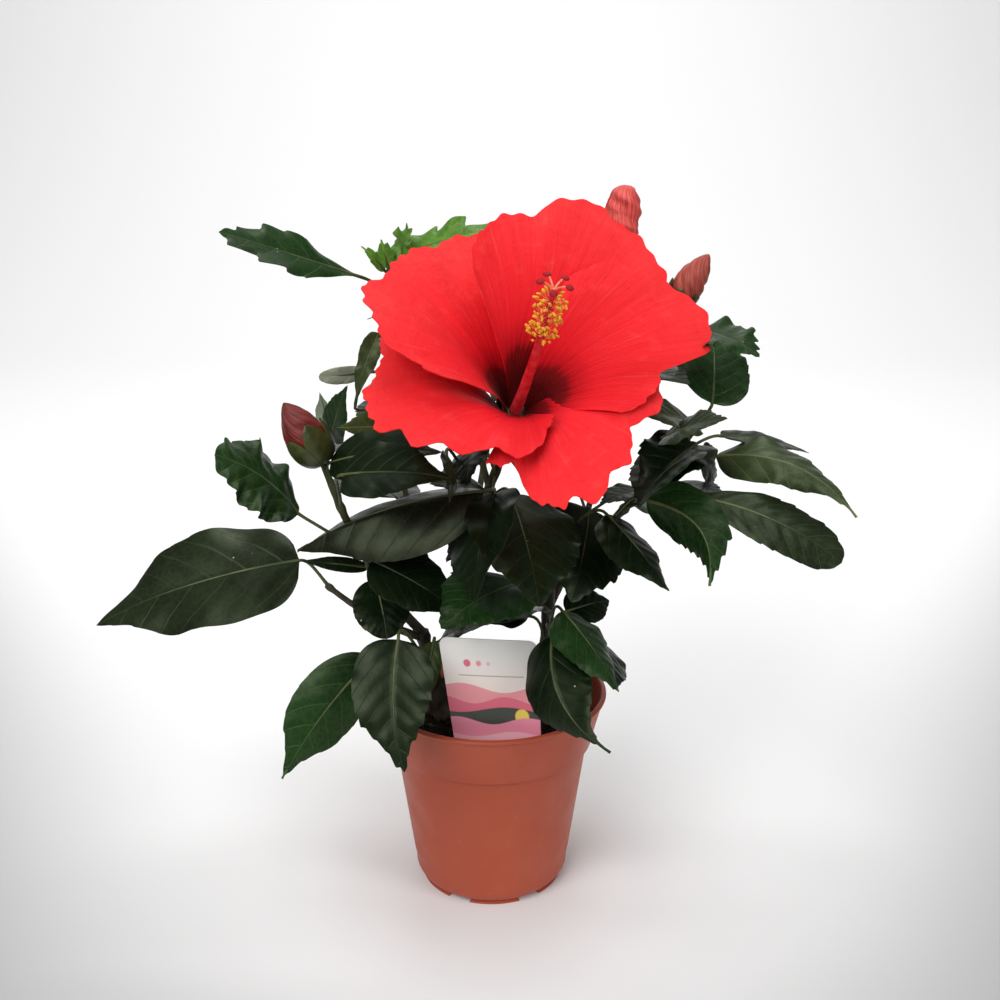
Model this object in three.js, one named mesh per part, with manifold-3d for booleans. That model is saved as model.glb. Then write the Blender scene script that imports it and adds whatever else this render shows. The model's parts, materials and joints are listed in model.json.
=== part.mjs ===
// A young hibiscus shrub in a plastic nursery pot, in full flower.
// Millimetres, +Z up, the front towards -Y. The origin is the middle of the pot's flat underside.
import * as THREE from "three";
import { mergeVertices } from "three/addons/utils/BufferGeometryUtils.js";
import Module from "manifold-3d";

const wasm = await Module();
wasm.setup();

const gap = 0.35; // clear space kept between neighbouring pieces

const potSize = {
  height: 115,
  rimRadius: 65,
  lipDepth: 3,
  bandFoot: 86, // height of the step under the rim band
  bandRadius: 57,
  wallTopRadius: 54.5,
  wallFootRadius: 45,
  footRadius: 41,
  wall: 1.6,
  floorHeight: 3.5,
  floorThickness: 2,
  bossRadius: 13,
  feet: 6,
  notchWidth: 13,
  notchHeight: 3.6,
  firstNotch: -57, // degrees round from +X
  drainRadius: 3.5,
  drainCircle: 26,
  drainSides: 6,
  turnSteps: 24,
};

const soilSize = { top: 100, skirt: 1.5, turnSteps: 24 };

// The card stands in the soil inside the front of the rim. It is a little narrower at its foot.
const labelSize = {
  width: 52,
  footWidth: 45,
  height: 64,
  thickness: 0.9,
  corner: 5,
  place: [4.5, -50.5, 100],
  lean: 6, // degrees the top tips back
  tilt: 5, // degrees it tips to the left
  turn: -2,
};

// A limb runs from the soil, or from a place on its parent limb, through one point to its tip.
const limbs = {
  stem_left: { from: [-28, -4, 98], through: [-33, -6, 127], to: [-38, -9, 153], radii: [4.4, 3.4] },
  stem_centre: { from: [-13, 3, 98], through: [-20, 0, 165], to: [12, 6, 262], radii: [3.6, 2.1] },
  stem_right: { from: [34, 2, 98], through: [36, 6, 215], to: [66, 38, 342], radii: [4.2, 1.6] },
  bough_left_low: {
    parent: "stem_left", at: 0.92, through: [-62, -23, 167], to: [-86, -31, 189], radii: [2.4, 1.4],
  },
  bough_left_bud: {
    parent: "stem_left", at: 1, through: [-64, -24, 198], to: [-84, -42, 260], radii: [2.8, 1.7],
  },
  bough_top_left: {
    parent: "stem_centre", at: 0.86, through: [-20, 22, 285], to: [-48, 26, 343], radii: [1.9, 1.1],
  },
  bough_right: {
    parent: "stem_right", at: 0.36, through: [72, -3, 222], to: [114, -8, 276], radii: [2.6, 1.3],
  },
  bough_right_bud: {
    parent: "stem_right", at: 0.64, through: [76, 24, 290], to: [97, 18, 328], radii: [1.7, 1.2],
  },
  bough_back_left: {
    parent: "stem_centre", at: 0.38, through: [-46, 42, 205], to: [-64, 82, 258], radii: [2.3, 1.2],
  },
  bough_back_right: {
    parent: "stem_right", at: 0.28, through: [58, 50, 212], to: [66, 90, 264], radii: [2.3, 1.2],
  },
  bough_back: {
    parent: "stem_centre", at: 0.7, through: [-2, 48, 248], to: [6, 72, 308], radii: [2, 1.1],
  },
  flower_stalk: {
    parent: "stem_centre", at: 0.97, through: [10, -16, 261], to: [7, -36.5, 267.5], radii: [1.7, 1.9],
  },
};
const limbShape = { sides: 5, steps: 4, flare: 1.5, flareLength: 9 };

// A leaf is a stalk [heading, rise, length] and a blade [heading, rise, length, width], in degrees and
// millimetres. Headings turn from +X towards +Y. The blade's line droops along its way, and the blade
// is rolled about that line.
const sprays = {
  far_left: { limb: "bough_left_low", at: 0.97, leaves: [
    { stalk: [-160, 48, 23], blade: [-176, -17, 112, 60], roll: -38, droop: 28 },
  ] },
  long_left: { limb: "stem_centre", at: 0.66, leaves: [
    { stalk: [-77, 48, 70], blade: [177, -19, 102, 43], roll: -56, droop: 18 },
  ] },
  bud_left: { limb: "bough_left_bud", at: 0.8, leaves: [
    { stalk: [-78, 42, 38], blade: [-23, 5, 58, 36], roll: 34, droop: 24 },
    { stalk: [-104, 68, 29], blade: [-17, 10, 60, 32], roll: 32, droop: 26 },
  ] },
  folded_left: { limb: "bough_left_bud", at: 0.5, leaves: [
    { stalk: [-143, 42, 54], blade: [-152, 42, 54, 39], roll: -52, droop: 14 },
  ] },
  olive_left: { limb: "bough_top_left", at: 0.5, leaves: [
    { stalk: [-119, -16, 50], blade: [-149, 8, 39, 20], roll: -60, droop: 16 },
    { stalk: [-147, -3, 60], blade: [10, 70, 39, 11], roll: 50, droop: 30 },
  ] },
  high_left: { limb: "bough_top_left", at: 0.74, leaves: [
    { stalk: [-161, 41, 48], blade: [-143, 20, 84, 27], roll: -46, droop: 12 },
  ] },
  new_tip: { limb: "bough_top_left", at: 0.97, leaves: [
    { stalk: [-112, 65, 16], blade: [-7, 16, 51, 21], roll: 40, droop: 16 },
    { stalk: [-92, 59, 16], blade: [-47, 72, 17, 23], roll: 75, droop: 20 },
  ] },
  high_right: { limb: "bough_right_bud", at: 0.75, leaves: [
    { stalk: [-53, 16, 32], blade: [-35, -14, 37, 42], roll: 8, droop: 34 },
  ] },
  round_right: { limb: "bough_right", at: 0.97, leaves: [
    { stalk: [-45, 62, 11], blade: [84, 30, 56, 42], roll: 22, droop: 30 },
  ] },
  fold_right: { limb: "bough_right", at: 0.86, leaves: [
    { stalk: [-63, 56, 15], blade: [-143, 16, 42, 30], roll: -25, droop: 22 },
    { stalk: [-67, 10, 12], blade: [-128, -14, 57, 36], roll: -14, droop: 20 },
  ] },
  long_right: { limb: "bough_right", at: 0.74, leaves: [
    { stalk: [-9, 15, 28], blade: [-39, -12, 82, 25], roll: 32, droop: 24 },
    { stalk: [9, 27, 35], blade: [18, -14, 56, 20], roll: 10, droop: 16 },
  ] },
  broad_right: { limb: "bough_right", at: 0.5, leaves: [
    { stalk: [-39, 20, 45], blade: [-23, -18, 81, 28], roll: 46, droop: 16 },
    { stalk: [10, 25, 32], blade: [-48, -2, 34, 24], roll: -4, droop: 20 },
  ] },
  droop_right: { limb: "bough_right", at: 0.33, leaves: [
    { stalk: [-55, 38, 48], blade: [-50, -37, 56, 25], roll: 24, droop: 22 },
  ] },
  dark_right: { limb: "stem_right", at: 0.44, leaves: [
    { stalk: [-43, 34, 44], blade: [-45, -36, 53, 28], roll: 20, droop: 20 },
    { stalk: [9, 43, 27], blade: [-103, -34, 62, 50], roll: -30, droop: 26 },
  ] },
  centre: { limb: "stem_centre", at: 0.8, leaves: [
    { stalk: [-80, 27, 48], blade: [-100, -34, 66, 50], roll: 42, droop: 18 },
    { stalk: [-66, 28, 43], blade: [-76, -34, 70, 60], roll: -12, droop: 22 },
  ] },
  centre_low: { limb: "stem_centre", at: 0.5, leaves: [
    { stalk: [-50, 28, 62], blade: [-135, -8, 56, 48], roll: -10, droop: 34 },
  ] },
  inner: { limb: "stem_centre", at: 0.9, leaves: [
    { stalk: [-106, -41, 14], blade: [-137, 20, 44, 32], roll: -20, droop: 26 },
  ] },
  dark_left: { limb: "bough_left_low", at: 0.35, leaves: [
    { stalk: [-107, 64, 50], blade: [-13, -28, 52, 38], roll: 26, droop: 26 },
  ] },
  round_left: { limb: "stem_left", at: 0.75, leaves: [
    { stalk: [-138, 57, 61], blade: [-72, -49, 33, 30], roll: 0, droop: 22 },
    { stalk: [-31, 45, 12], blade: [-36, 33, 36, 26], roll: 25, droop: 20 },
  ] },
  low_left: { limb: "stem_left", at: 0.5, leaves: [
    { stalk: [-106, 39, 66], blade: [-83, -58, 67, 42], roll: 14, droop: 18 },
    { stalk: [-122, 29, 60], blade: [-151, -47, 77, 32], roll: -52, droop: 18 },
  ] },
  low_right: { limb: "stem_right", at: 0.2, leaves: [
    { stalk: [-89, 27, 56], blade: [-52, -47, 67, 30], roll: 14, droop: 20 },
    { stalk: [-81, 39, 55], blade: [-43, -41, 50, 34], roll: 8, droop: 22 },
  ] },
  card_top: { limb: "stem_right", at: 0.1, leaves: [
    { stalk: [-109, 70, 54], blade: [-140, -1, 54, 42], roll: 10, droop: 26 },
  ] },
};

// The boughs at the back carry their leaves by one rule: each pair turns on by the golden angle.
const goldenAngle = 137.5;
const backRule = {
  bough_back_left: { places: [0.42, 0.7, 0.97], heading: 124, length: 84 },
  bough_back_right: { places: [0.42, 0.7, 0.97], heading: 110, length: 82 },
  bough_back: { places: [0.5, 0.97], heading: 60, length: 78 },
};
for (const [limb, rule] of Object.entries(backRule)) {
  rule.places.forEach((at, i) => {
    const heading = rule.heading + goldenAngle * i;
    const length = rule.length * (1 - 0.12 * i);
    const leaves = [0, 1].map((k) => ({
      stalk: [heading - 110 * k, 34 - 8 * k, 26 - 3 * i],
      blade: [heading - 140 * k, 8 * i - 14 * k - 8, length * (1 - 0.2 * k), length * (0.6 - 0.12 * k)],
      roll: 8 - 16 * k,
      droop: 28,
    }));
    sprays[`${limb.slice(6)}_${i + 1}`] = { limb, at, leaves };
  });
}

const leafShape = {
  thickness: 1.8,
  stalkRadius: 1.2,
  stalkSides: 4,
  collarSides: 4,
  collarLength: 6,
  collarWall: 1.6,
  rise: 0.5,
  fall: 0.95,
  steps: 3,
};

// A petal's turn runs anticlockwise round the flower's face from its right side. Its halves are the
// degrees it spreads to its clockwise and anticlockwise sides, and trims are how much shorter it is
// there. Its slopes lead from the throat to the edge, and tilt lifts one side over the next petal.
const bloomSize = { place: [11, -46, 282], heading: -66, rise: 55, throat: 3, thickness: 1.5 };
const petals = {
  petal_top: {
    turn: 60, length: 121, slopes: [74, 46, 18, 4], halves: [56, 36], trims: [0.06, 0.24], tilt: 11,
  },
  petal_right: {
    turn: 8, length: 112, slopes: [74, 40, 12, -4], halves: [48, 44], trims: [0.34, 0.06], tilt: 10,
  },
  petal_lower: {
    turn: -90, length: 80, slopes: [72, 30, 6, -14], halves: [26, 54], trims: [0.2, 0.34], tilt: 5,
  },
  petal_front: {
    turn: 196, length: 85, slopes: [72, 36, 8, -24], halves: [46, 84], trims: [0.16, 0.58], tilt: 4,
  },
  petal_left: {
    turn: 138, length: 98, slopes: [72, 42, 18, 4], halves: [50, 46], trims: [0.1, 0.3], tilt: 4,
  },
};
const petalShape = { slopePlaces: [0, 0.25, 0.55, 1], start: 0.12, roundness: 2, steps: [6, 5] };
const columnSize = { length: 90, foot: 2.4, neck: 1.7, headStart: 0.5, head: 6.5, lift: 5 };
const calyxSize = { length: 25, behind: 16, widest: 8.5 };

const budShape = { sides: 8, steps: 5, rise: 0.45, fall: 0.7, inset: 2 };
const buds = {
  bud_left: { limb: "bough_left_bud", heading: -165, rise: 60, length: 37, radius: 11 },
  bud_top: { limb: "stem_right", heading: 10, rise: 82, length: 49, radius: 10 },
  bud_right: { limb: "bough_right_bud", heading: -12, rise: 58, length: 34, radius: 8.5 },
};

const looks = {
  pot: { colour: [0.62, 0.27, 0.16], roughness: 0.5 },
  soil: { colour: [0.09, 0.06, 0.045], roughness: 0.95 },
  label: { colour: [0.93, 0.89, 0.88], roughness: 0.35 },
  bark: { colour: [0.24, 0.22, 0.12], roughness: 0.75 },
  leaf: { colour: [0.06, 0.14, 0.055], roughness: 0.4 },
  young_leaf: { colour: [0.16, 0.34, 0.07], roughness: 0.45 },
  petal: { colour: [0.92, 0.12, 0.1], roughness: 0.6 },
  column: { colour: [0.9, 0.45, 0.1], roughness: 0.6 },
  calyx: { colour: [0.2, 0.27, 0.08], roughness: 0.55 },
  bud: { colour: [0.5, 0.1, 0.08], roughness: 0.5 },
};

const radians = THREE.MathUtils.degToRad;
const mix = THREE.MathUtils.lerp;
const vector = (place) => new THREE.Vector3(...place);

// A unit vector from a heading round +Z and a rise above the level.
function direction(heading, rise) {
  const level = Math.cos(radians(rise));
  const x = level * Math.cos(radians(heading));
  const y = level * Math.sin(radians(heading));
  return new THREE.Vector3(x, y, Math.sin(radians(rise)));
}

function solidOf(geometry) {
  const bare = geometry.clone();
  bare.deleteAttribute("normal");
  bare.deleteAttribute("uv");
  const merged = mergeVertices(bare, 1e-4);
  const vertProperties = new Float32Array(merged.attributes.position.array);
  const triVerts = new Uint32Array(merged.index.array);
  return new wasm.Manifold(new wasm.Mesh({ numProp: 3, vertProperties, triVerts }));
}

function geometryOf(solid) {
  const mesh = solid.getMesh();
  const geometry = new THREE.BufferGeometry();
  geometry.setAttribute("position", new THREE.BufferAttribute(mesh.vertProperties, mesh.numProp));
  geometry.setIndex(new THREE.BufferAttribute(mesh.triVerts, 1));
  geometry.computeVertexNormals();
  return geometry;
}

// Moves every point of a geometry by a function that changes the point it is given.
function reshape(geometry, move) {
  const place = geometry.attributes.position;
  const point = new THREE.Vector3();
  for (let i = 0; i < place.count; i++) {
    point.fromBufferAttribute(place, i);
    move(point);
    place.setXYZ(i, ...point);
  }
  return geometry;
}

function lathe(profile, turnSteps) {
  const points = profile.map(([radius, height]) => new THREE.Vector2(radius, height));
  return solidOf(new THREE.LatheGeometry(points, turnSteps).rotateX(Math.PI / 2));
}

function limbCurve(name) {
  const limb = limbs[name];
  const foot = limb.parent ? limbCurve(limb.parent).getPoint(limb.at) : vector(limb.from);
  const tip = vector(limb.to);
  const pull = vector(limb.through).multiplyScalar(2).sub(foot.clone().add(tip).divideScalar(2));
  return new THREE.QuadraticBezierCurve3(foot, pull, tip);
}

// A closed rod along a curve, its radius given by a function of the way along.
function rod(curve, radiusAt, sides, steps) {
  const straight = new THREE.CylinderGeometry(1, 1, 1, sides, steps);
  const bent = reshape(straight, (p) => {
    const along = 0.5 - p.y;
    const forward = curve.getTangent(along);
    const side = new THREE.Vector3(0, 1, 0).cross(forward).normalize();
    const up = forward.clone().cross(side);
    const radius = radiusAt(along);
    const centre = curve.getPoint(along);
    p.copy(centre.addScaledVector(side, p.x * radius).addScaledVector(up, p.z * radius));
  });
  return solidOf(bent);
}

function straightRod(from, to, radius, sides) {
  return rod(new THREE.LineCurve3(from, to), () => radius, sides, 1);
}

// The pot as it is or, swollen, the plain room that the pot and its soil take up.
function potSolid(grow) {
  const s = potSize;
  if (grow > 0) {
    const [rim, top, soil] = [s.rimRadius + grow, s.height + grow, soilSize.top + grow];
    const foot = s.wallFootRadius + grow;
    const mouth = s.rimRadius - 2.4 * s.wall - grow;
    return lathe([[0, -grow], [foot, -grow], [rim, s.bandFoot], [rim, top], [mouth, top],
      [s.bandRadius, soil], [0, soil]], s.turnSteps);
  }
  const floorTop = s.floorHeight + s.floorThickness;
  const lip = s.height - s.lipDepth;
  const outside = [
    [0, 0], [s.bossRadius, 0], [s.bossRadius + 1, s.floorHeight], [s.footRadius - 5, s.floorHeight],
    [s.footRadius - 4, 0], [s.footRadius, 0], [s.wallFootRadius - 1.2, 2], [s.wallFootRadius, 6],
    [s.wallTopRadius, s.bandFoot - 1], [s.bandRadius - 0.5, s.bandFoot], [s.bandRadius, s.bandFoot + 1],
    [s.rimRadius - 0.6, lip], [s.rimRadius, s.height - 1], [s.rimRadius - 0.5, s.height],
  ];
  const inside = [
    [s.rimRadius - 1.4 * s.wall, s.height], [s.rimRadius - 1.8 * s.wall, lip],
    [s.wallTopRadius - s.wall, s.bandFoot - 1], [s.wallFootRadius - s.wall, floorTop], [0, floorTop],
  ];
  let pot = lathe([...outside, ...inside], s.turnSteps);
  for (let i = 0; i < s.feet; i++) {
    const turn = radians(s.firstNotch + (360 * i) / s.feet);
    const notch = new THREE.BoxGeometry(14, s.notchWidth, 2 * s.notchHeight);
    const drain = new THREE.CylinderGeometry(s.drainRadius, s.drainRadius, 20, s.drainSides);
    drain.rotateX(Math.PI / 2).translate(s.drainCircle, 0, 0);
    pot = pot.subtract(solidOf(notch.translate(s.footRadius + 2, 0, 0).rotateZ(turn)));
    pot = pot.subtract(solidOf(drain.rotateZ(turn)));
  }
  return pot;
}

function soilSolid() {
  const s = potSize;
  const slack = s.wall + gap;
  const floor = s.floorHeight + s.floorThickness + gap;
  const shoulder = s.bandFoot - 1;
  const flareOut = s.rimRadius - s.wallTopRadius - 0.8 * s.wall;
  const widening = flareOut / (s.height - s.lipDepth - shoulder);
  const topRadius = s.wallTopRadius - slack + widening * (soilSize.top - shoulder);
  return lathe([
    [0, floor], [s.wallFootRadius - slack, floor], [s.wallTopRadius - slack, shoulder],
    [topRadius - 0.5, soilSize.top - soilSize.skirt], [topRadius - soilSize.skirt, soilSize.top],
    [0, soilSize.top],
  ], soilSize.turnSteps);
}

function labelSolid(grow) {
  const s = labelSize;
  const half = s.width / 2 + grow;
  const foot = s.footWidth / 2 + grow;
  const shoulder = s.height + grow - s.corner;
  const outline = new THREE.Shape();
  outline.moveTo(-foot, -2);
  outline.lineTo(foot, -2);
  outline.lineTo(half, shoulder);
  outline.absarc(half - s.corner, shoulder, s.corner, 0, Math.PI / 2);
  outline.absarc(s.corner - half, shoulder, s.corner, Math.PI / 2, Math.PI);
  const depth = s.thickness + 2 * grow;
  const card = new THREE.ExtrudeGeometry(outline, { depth, bevelEnabled: false, curveSegments: 4 });
  card.translate(0, 0, -depth / 2).rotateZ(radians(s.tilt)).rotateX(radians(90 - s.lean));
  return solidOf(card.rotateZ(radians(s.turn)).translate(...s.place));
}

function limbRadius(name, along) {
  return mix(...limbs[name].radii, along);
}

function limbSolid(name, grow) {
  const curve = limbCurve(name);
  const length = curve.getLength();
  const flare = limbs[name].parent ? 0 : limbShape.flare - 1;
  const swelling = (along) => 1 + flare * Math.exp((-along * length) / limbShape.flareLength);
  const radiusAt = (along) => limbRadius(name, along) * swelling(along) + grow;
  return rod(curve, radiusAt, limbShape.sides, limbShape.steps);
}

// Half the width of a leaf along its length, 1 where it is widest.
function leafOutline(along) {
  const { rise, fall } = leafShape;
  const widest = rise / (rise + fall);
  return (along / widest) ** rise * ((1 - along) / (1 - widest)) ** fall;
}

function bladeSolid(leaf, base, grow) {
  const [heading, rise, length, width] = leaf.blade;
  const forward = direction(heading, rise);
  const across = direction(heading + 90, 0).applyAxisAngle(forward, radians(leaf.roll));
  const normal = forward.clone().cross(across);
  const bend = radians(leaf.droop);
  const arcRadius = length / (2 * Math.sin(bend / 2));
  const slab = new THREE.BoxGeometry(1, 2, leafShape.thickness + 2 * grow, leafShape.steps, 1, 1);
  const blade = reshape(slab, (p) => {
    const turn = bend * p.x * (1 + (2 * grow) / length);
    const half = Math.max((width / 2) * leafOutline(p.x + 0.5), leafShape.stalkRadius) + grow;
    const arch = arcRadius * (Math.cos(turn) - Math.cos(bend / 2));
    p.copy(base.clone()
      .addScaledVector(forward, length / 2 + arcRadius * Math.sin(turn))
      .addScaledVector(across, p.y * half)
      .addScaledVector(normal, arch + p.z));
  });
  return solidOf(blade);
}

// The leaves of one spray, all on one collar round their limb.
function spraySolid(spray, grow) {
  const curve = limbCurve(spray.limb);
  const node = curve.getPoint(spray.at);
  const half = curve.getTangent(spray.at).multiplyScalar(leafShape.collarLength / 2 + grow);
  const collar = limbRadius(spray.limb, spray.at) + gap + leafShape.collarWall + grow;
  let whole = straightRod(node.clone().sub(half), node.clone().add(half), collar, leafShape.collarSides);
  for (const leaf of spray.leaves) {
    const [heading, rise, length] = leaf.stalk;
    const base = node.clone().addScaledVector(direction(heading, rise), length);
    whole = whole.add(straightRod(node, base, leafShape.stalkRadius + grow, leafShape.stalkSides));
    whole = whole.add(bladeSolid(leaf, base, grow));
  }
  return whole;
}

const bloomAxis = direction(bloomSize.heading, bloomSize.rise);
const bloomRight = direction(bloomSize.heading + 90, 0);
const bloomUp = direction(bloomSize.heading + 180, 90 - bloomSize.rise);

function slopeAt(slopes, along) {
  const places = petalShape.slopePlaces;
  const reach = Math.min(along, 1);
  const i = Math.max(1, places.findIndex((place) => reach <= place));
  return mix(slopes[i - 1], slopes[i], (reach - places[i - 1]) / (places[i] - places[i - 1]));
}

// A point of a petal's middle surface: along runs from throat to edge, side from -1 to 1 across.
function petalPoint(petal, along, side) {
  const edge = side < 0 ? 0 : 1;
  const reach = along * (1 - petal.trims[edge] * Math.abs(side) ** petalShape.roundness);
  const strides = 12;
  let radius = bloomSize.throat;
  let height = 0;
  for (let i = 0; i < strides; i++) {
    const slope = radians(slopeAt(petal.slopes, (reach * (i + 0.5)) / strides) + petal.tilt * side);
    radius += (Math.cos(slope) * petal.length * reach) / strides;
    height += (Math.sin(slope) * petal.length * reach) / strides;
  }
  const spread = petal.halves[edge] * Math.min(1, 0.62 + 0.85 * reach);
  const turn = radians(petal.turn + side * spread);
  return vector(bloomSize.place)
    .addScaledVector(bloomRight, radius * Math.cos(turn))
    .addScaledVector(bloomUp, radius * Math.sin(turn))
    .addScaledVector(bloomAxis, height);
}

function petalSolid(petal, grow) {
  const slab = new THREE.BoxGeometry(1, 2, bloomSize.thickness + 2 * grow, ...petalShape.steps, 1);
  const blade = reshape(slab, (p) => {
    const along = mix(petalShape.start, 1, p.x + 0.5) + (2 * p.x * grow) / petal.length;
    const side = p.y * (1 + grow / 30);
    const place = petalPoint(petal, along, side);
    const ahead = petalPoint(petal, along + 0.01, side).sub(place);
    const aside = petalPoint(petal, along, side + 0.01).sub(place);
    p.copy(place.addScaledVector(ahead.cross(aside).normalize(), p.z));
  });
  return solidOf(blade);
}

// The staminal column: a slim stalk that bends a little upwards, with a broad head of anthers.
function columnSolid(grow) {
  const s = columnSize;
  const foot = vector(bloomSize.place).addScaledVector(bloomAxis, calyxSize.length - calyxSize.behind);
  const top = vector(bloomSize.place).addScaledVector(bloomAxis, s.length);
  const pull = foot.clone().add(top).divideScalar(2).addScaledVector(bloomUp, -s.lift);
  const head = (along) => Math.sin((Math.PI * (along - s.headStart)) / (1 - s.headStart)) ** 0.5;
  const radiusAt = (along) => {
    const bulge = along > s.headStart && along < 1 ? (s.head - s.neck) * head(along) : 0;
    return mix(s.foot, s.neck, along) + bulge + grow;
  };
  return rod(new THREE.QuadraticBezierCurve3(foot, pull, top), radiusAt, 7, 6);
}

// The green cup behind the throat, from the flower's stalk to the petals' feet.
function calyxSolid(grow) {
  const s = calyxSize;
  const foot = vector(bloomSize.place).addScaledVector(bloomAxis, -s.behind - grow);
  const tip = foot.clone().addScaledVector(bloomAxis, s.length + 2 * grow);
  const cup = (along) => 0.35 + 0.65 * Math.sin(Math.min(1, along * 1.6) * (Math.PI / 2));
  return rod(new THREE.LineCurve3(foot, tip), (along) => s.widest * cup(along) + grow, 8, 3);
}

function budSolid(bud, grow) {
  const { rise, fall, inset } = budShape;
  const forward = direction(bud.heading, bud.rise);
  const foot = limbCurve(bud.limb).getPoint(1).addScaledVector(forward, -inset - grow);
  const tip = foot.clone().addScaledVector(forward, bud.length + inset + 2 * grow);
  const widest = rise / (rise + fall);
  const swell = (along) => (along / widest) ** rise * ((1 - along) / (1 - widest)) ** fall;
  const radiusAt = (along) => Math.max(1.2, bud.radius * swell(along)) + grow;
  return rod(new THREE.LineCurve3(foot, tip), radiusAt, budShape.sides, budShape.steps);
}

function boxesMeet(a, b) {
  const [first, second] = [a.boundingBox(), b.boundingBox()];
  return first.min.every((low, i) => low < second.max[i] && second.min[i] < first.max[i]);
}

const materials = {};
for (const [name, look] of Object.entries(looks)) {
  materials[name] = new THREE.MeshStandardMaterial({ name, roughness: look.roughness, metalness: 0 });
  materials[name].color.setRGB(...look.colour);
}

const shrub = new THREE.Group();
const placed = [];

// Adds a piece, cut clear of the pieces already there. make builds it swollen by a given distance.
function add(name, look, make) {
  let solid = make(0);
  for (const other of placed) {
    if (boxesMeet(solid, other)) solid = solid.subtract(other);
  }
  const bodies = solid.decompose().sort((a, b) => b.volume() - a.volume());
  placed.push(make(gap));
  const mesh = new THREE.Mesh(geometryOf(bodies[0]), materials[look]);
  mesh.name = name;
  shrub.add(mesh);
}

add("soil", "soil", soilSolid);
add("pot", "pot", potSolid);
for (const name of Object.keys(limbs)) {
  add(name, "bark", (grow) => limbSolid(name, grow));
}
add("calyx", "calyx", calyxSolid);
add("stamen_column", "column", columnSolid);
for (const [name, petal] of Object.entries(petals)) {
  add(name, "petal", (grow) => petalSolid(petal, grow));
}
for (const [name, bud] of Object.entries(buds)) {
  add(name, "bud", (grow) => budSolid(bud, grow));
}
add("plant_label", "label", labelSolid);
for (const [name, spray] of Object.entries(sprays)) {
  const look = name === "new_tip" ? "young_leaf" : "leaf";
  add(`leaves_${name}`, look, (grow) => spraySolid(spray, grow));
}

export default shrub;
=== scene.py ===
import json
import math

import bpy
import numpy as np
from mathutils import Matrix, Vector, noise

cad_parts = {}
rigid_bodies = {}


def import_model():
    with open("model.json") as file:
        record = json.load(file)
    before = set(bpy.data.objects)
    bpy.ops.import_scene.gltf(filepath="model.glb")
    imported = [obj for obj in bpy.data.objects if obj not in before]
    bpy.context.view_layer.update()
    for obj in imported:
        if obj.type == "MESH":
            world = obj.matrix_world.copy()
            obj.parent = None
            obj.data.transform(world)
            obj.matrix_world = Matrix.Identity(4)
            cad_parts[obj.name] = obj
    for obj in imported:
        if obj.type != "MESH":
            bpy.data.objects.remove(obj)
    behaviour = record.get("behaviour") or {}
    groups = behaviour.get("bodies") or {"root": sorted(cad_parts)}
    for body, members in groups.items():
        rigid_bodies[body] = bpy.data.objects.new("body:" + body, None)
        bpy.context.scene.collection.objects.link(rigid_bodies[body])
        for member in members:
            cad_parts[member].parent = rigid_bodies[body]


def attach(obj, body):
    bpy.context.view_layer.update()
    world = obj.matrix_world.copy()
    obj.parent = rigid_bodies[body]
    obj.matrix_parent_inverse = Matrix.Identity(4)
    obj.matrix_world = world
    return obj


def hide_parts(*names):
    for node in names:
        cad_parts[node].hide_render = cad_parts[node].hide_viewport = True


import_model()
bpy.ops.object.select_all(action="DESELECT")
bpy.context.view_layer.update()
mm = 0.001  # lengths in the dictionaries are in millimetres, angles in degrees

# small helpers for vectors and meshes


def direction(heading, rise):
    level = math.cos(math.radians(rise))
    x = level * math.cos(math.radians(heading))
    y = level * math.sin(math.radians(heading))
    return np.array([x, y, math.sin(math.radians(rise))])


def turned(arrow, axis, degrees):
    cosine, sine = math.cos(math.radians(degrees)), math.sin(math.radians(degrees))
    return arrow * cosine + np.cross(axis, arrow) * sine + axis * (arrow @ axis) * (1 - cosine)


def unit(arrows):
    return arrows / np.maximum(np.linalg.norm(arrows, axis=-1, keepdims=True), 1e-9)


def ease(low, high, values):
    share = np.clip((values - low) / (high - low), 0, 1)
    return share * share * (3 - 2 * share)


class Heap:
    # gathers shapes of one kind, to be joined in one mesh
    def __init__(self):
        self.points, self.faces, self.looks, self.maps, self.count = [], [], [], {}, 0

    def add(self, points, faces, look=0, **maps):
        points = np.asarray(points, float).reshape(-1, 3)
        self.points.append(points)
        self.faces += [tuple(int(v) + self.count for v in face) for face in faces]
        self.looks += [look] * len(faces)
        for name, values in maps.items():
            self.maps.setdefault(name, []).append(np.asarray(values, float).reshape(-1, 2))
        self.count += len(points)

    def build(self, name, materials):
        mesh = bpy.data.meshes.new(name)
        mesh.from_pydata((np.concatenate(self.points) * mm).tolist(), [], self.faces)
        for material in materials:
            mesh.materials.append(material)
        corners = np.empty(len(mesh.loops), np.int32)
        mesh.loops.foreach_get("vertex_index", corners)
        for layer, values in self.maps.items():
            flat = np.concatenate(values)[corners].ravel()
            mesh.uv_layers.new(name=layer).data.foreach_set("uv", flat.astype(np.float32))
        mesh.polygons.foreach_set("material_index", self.looks)
        mesh.validate()
        obj = bpy.data.objects.new(name, mesh)
        bpy.context.scene.collection.objects.link(obj)
        return obj


def pick(obj):
    bpy.ops.object.select_all(action="DESELECT")
    bpy.context.view_layer.objects.active = obj
    obj.select_set(True)


def joinTo(obj, *others):
    pick(obj)
    for other in others:
        other.select_set(True)
    bpy.ops.object.join()


def applyModifier(obj, kind, **settings):
    pick(obj)
    modifier = obj.modifiers.new(kind.lower(), kind)
    for name, value in settings.items():
        setattr(modifier, name, value)
    bpy.ops.object.modifier_apply(modifier=modifier.name)


def smooth(obj, angle=55):
    pick(obj)
    bpy.ops.object.shade_smooth_by_angle(angle=math.radians(angle))


def finishPiece(obj, slotName, *nodes):
    if nodes:
        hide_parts(*nodes)
    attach(obj, "root")
    obj.select_set(False)


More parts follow.
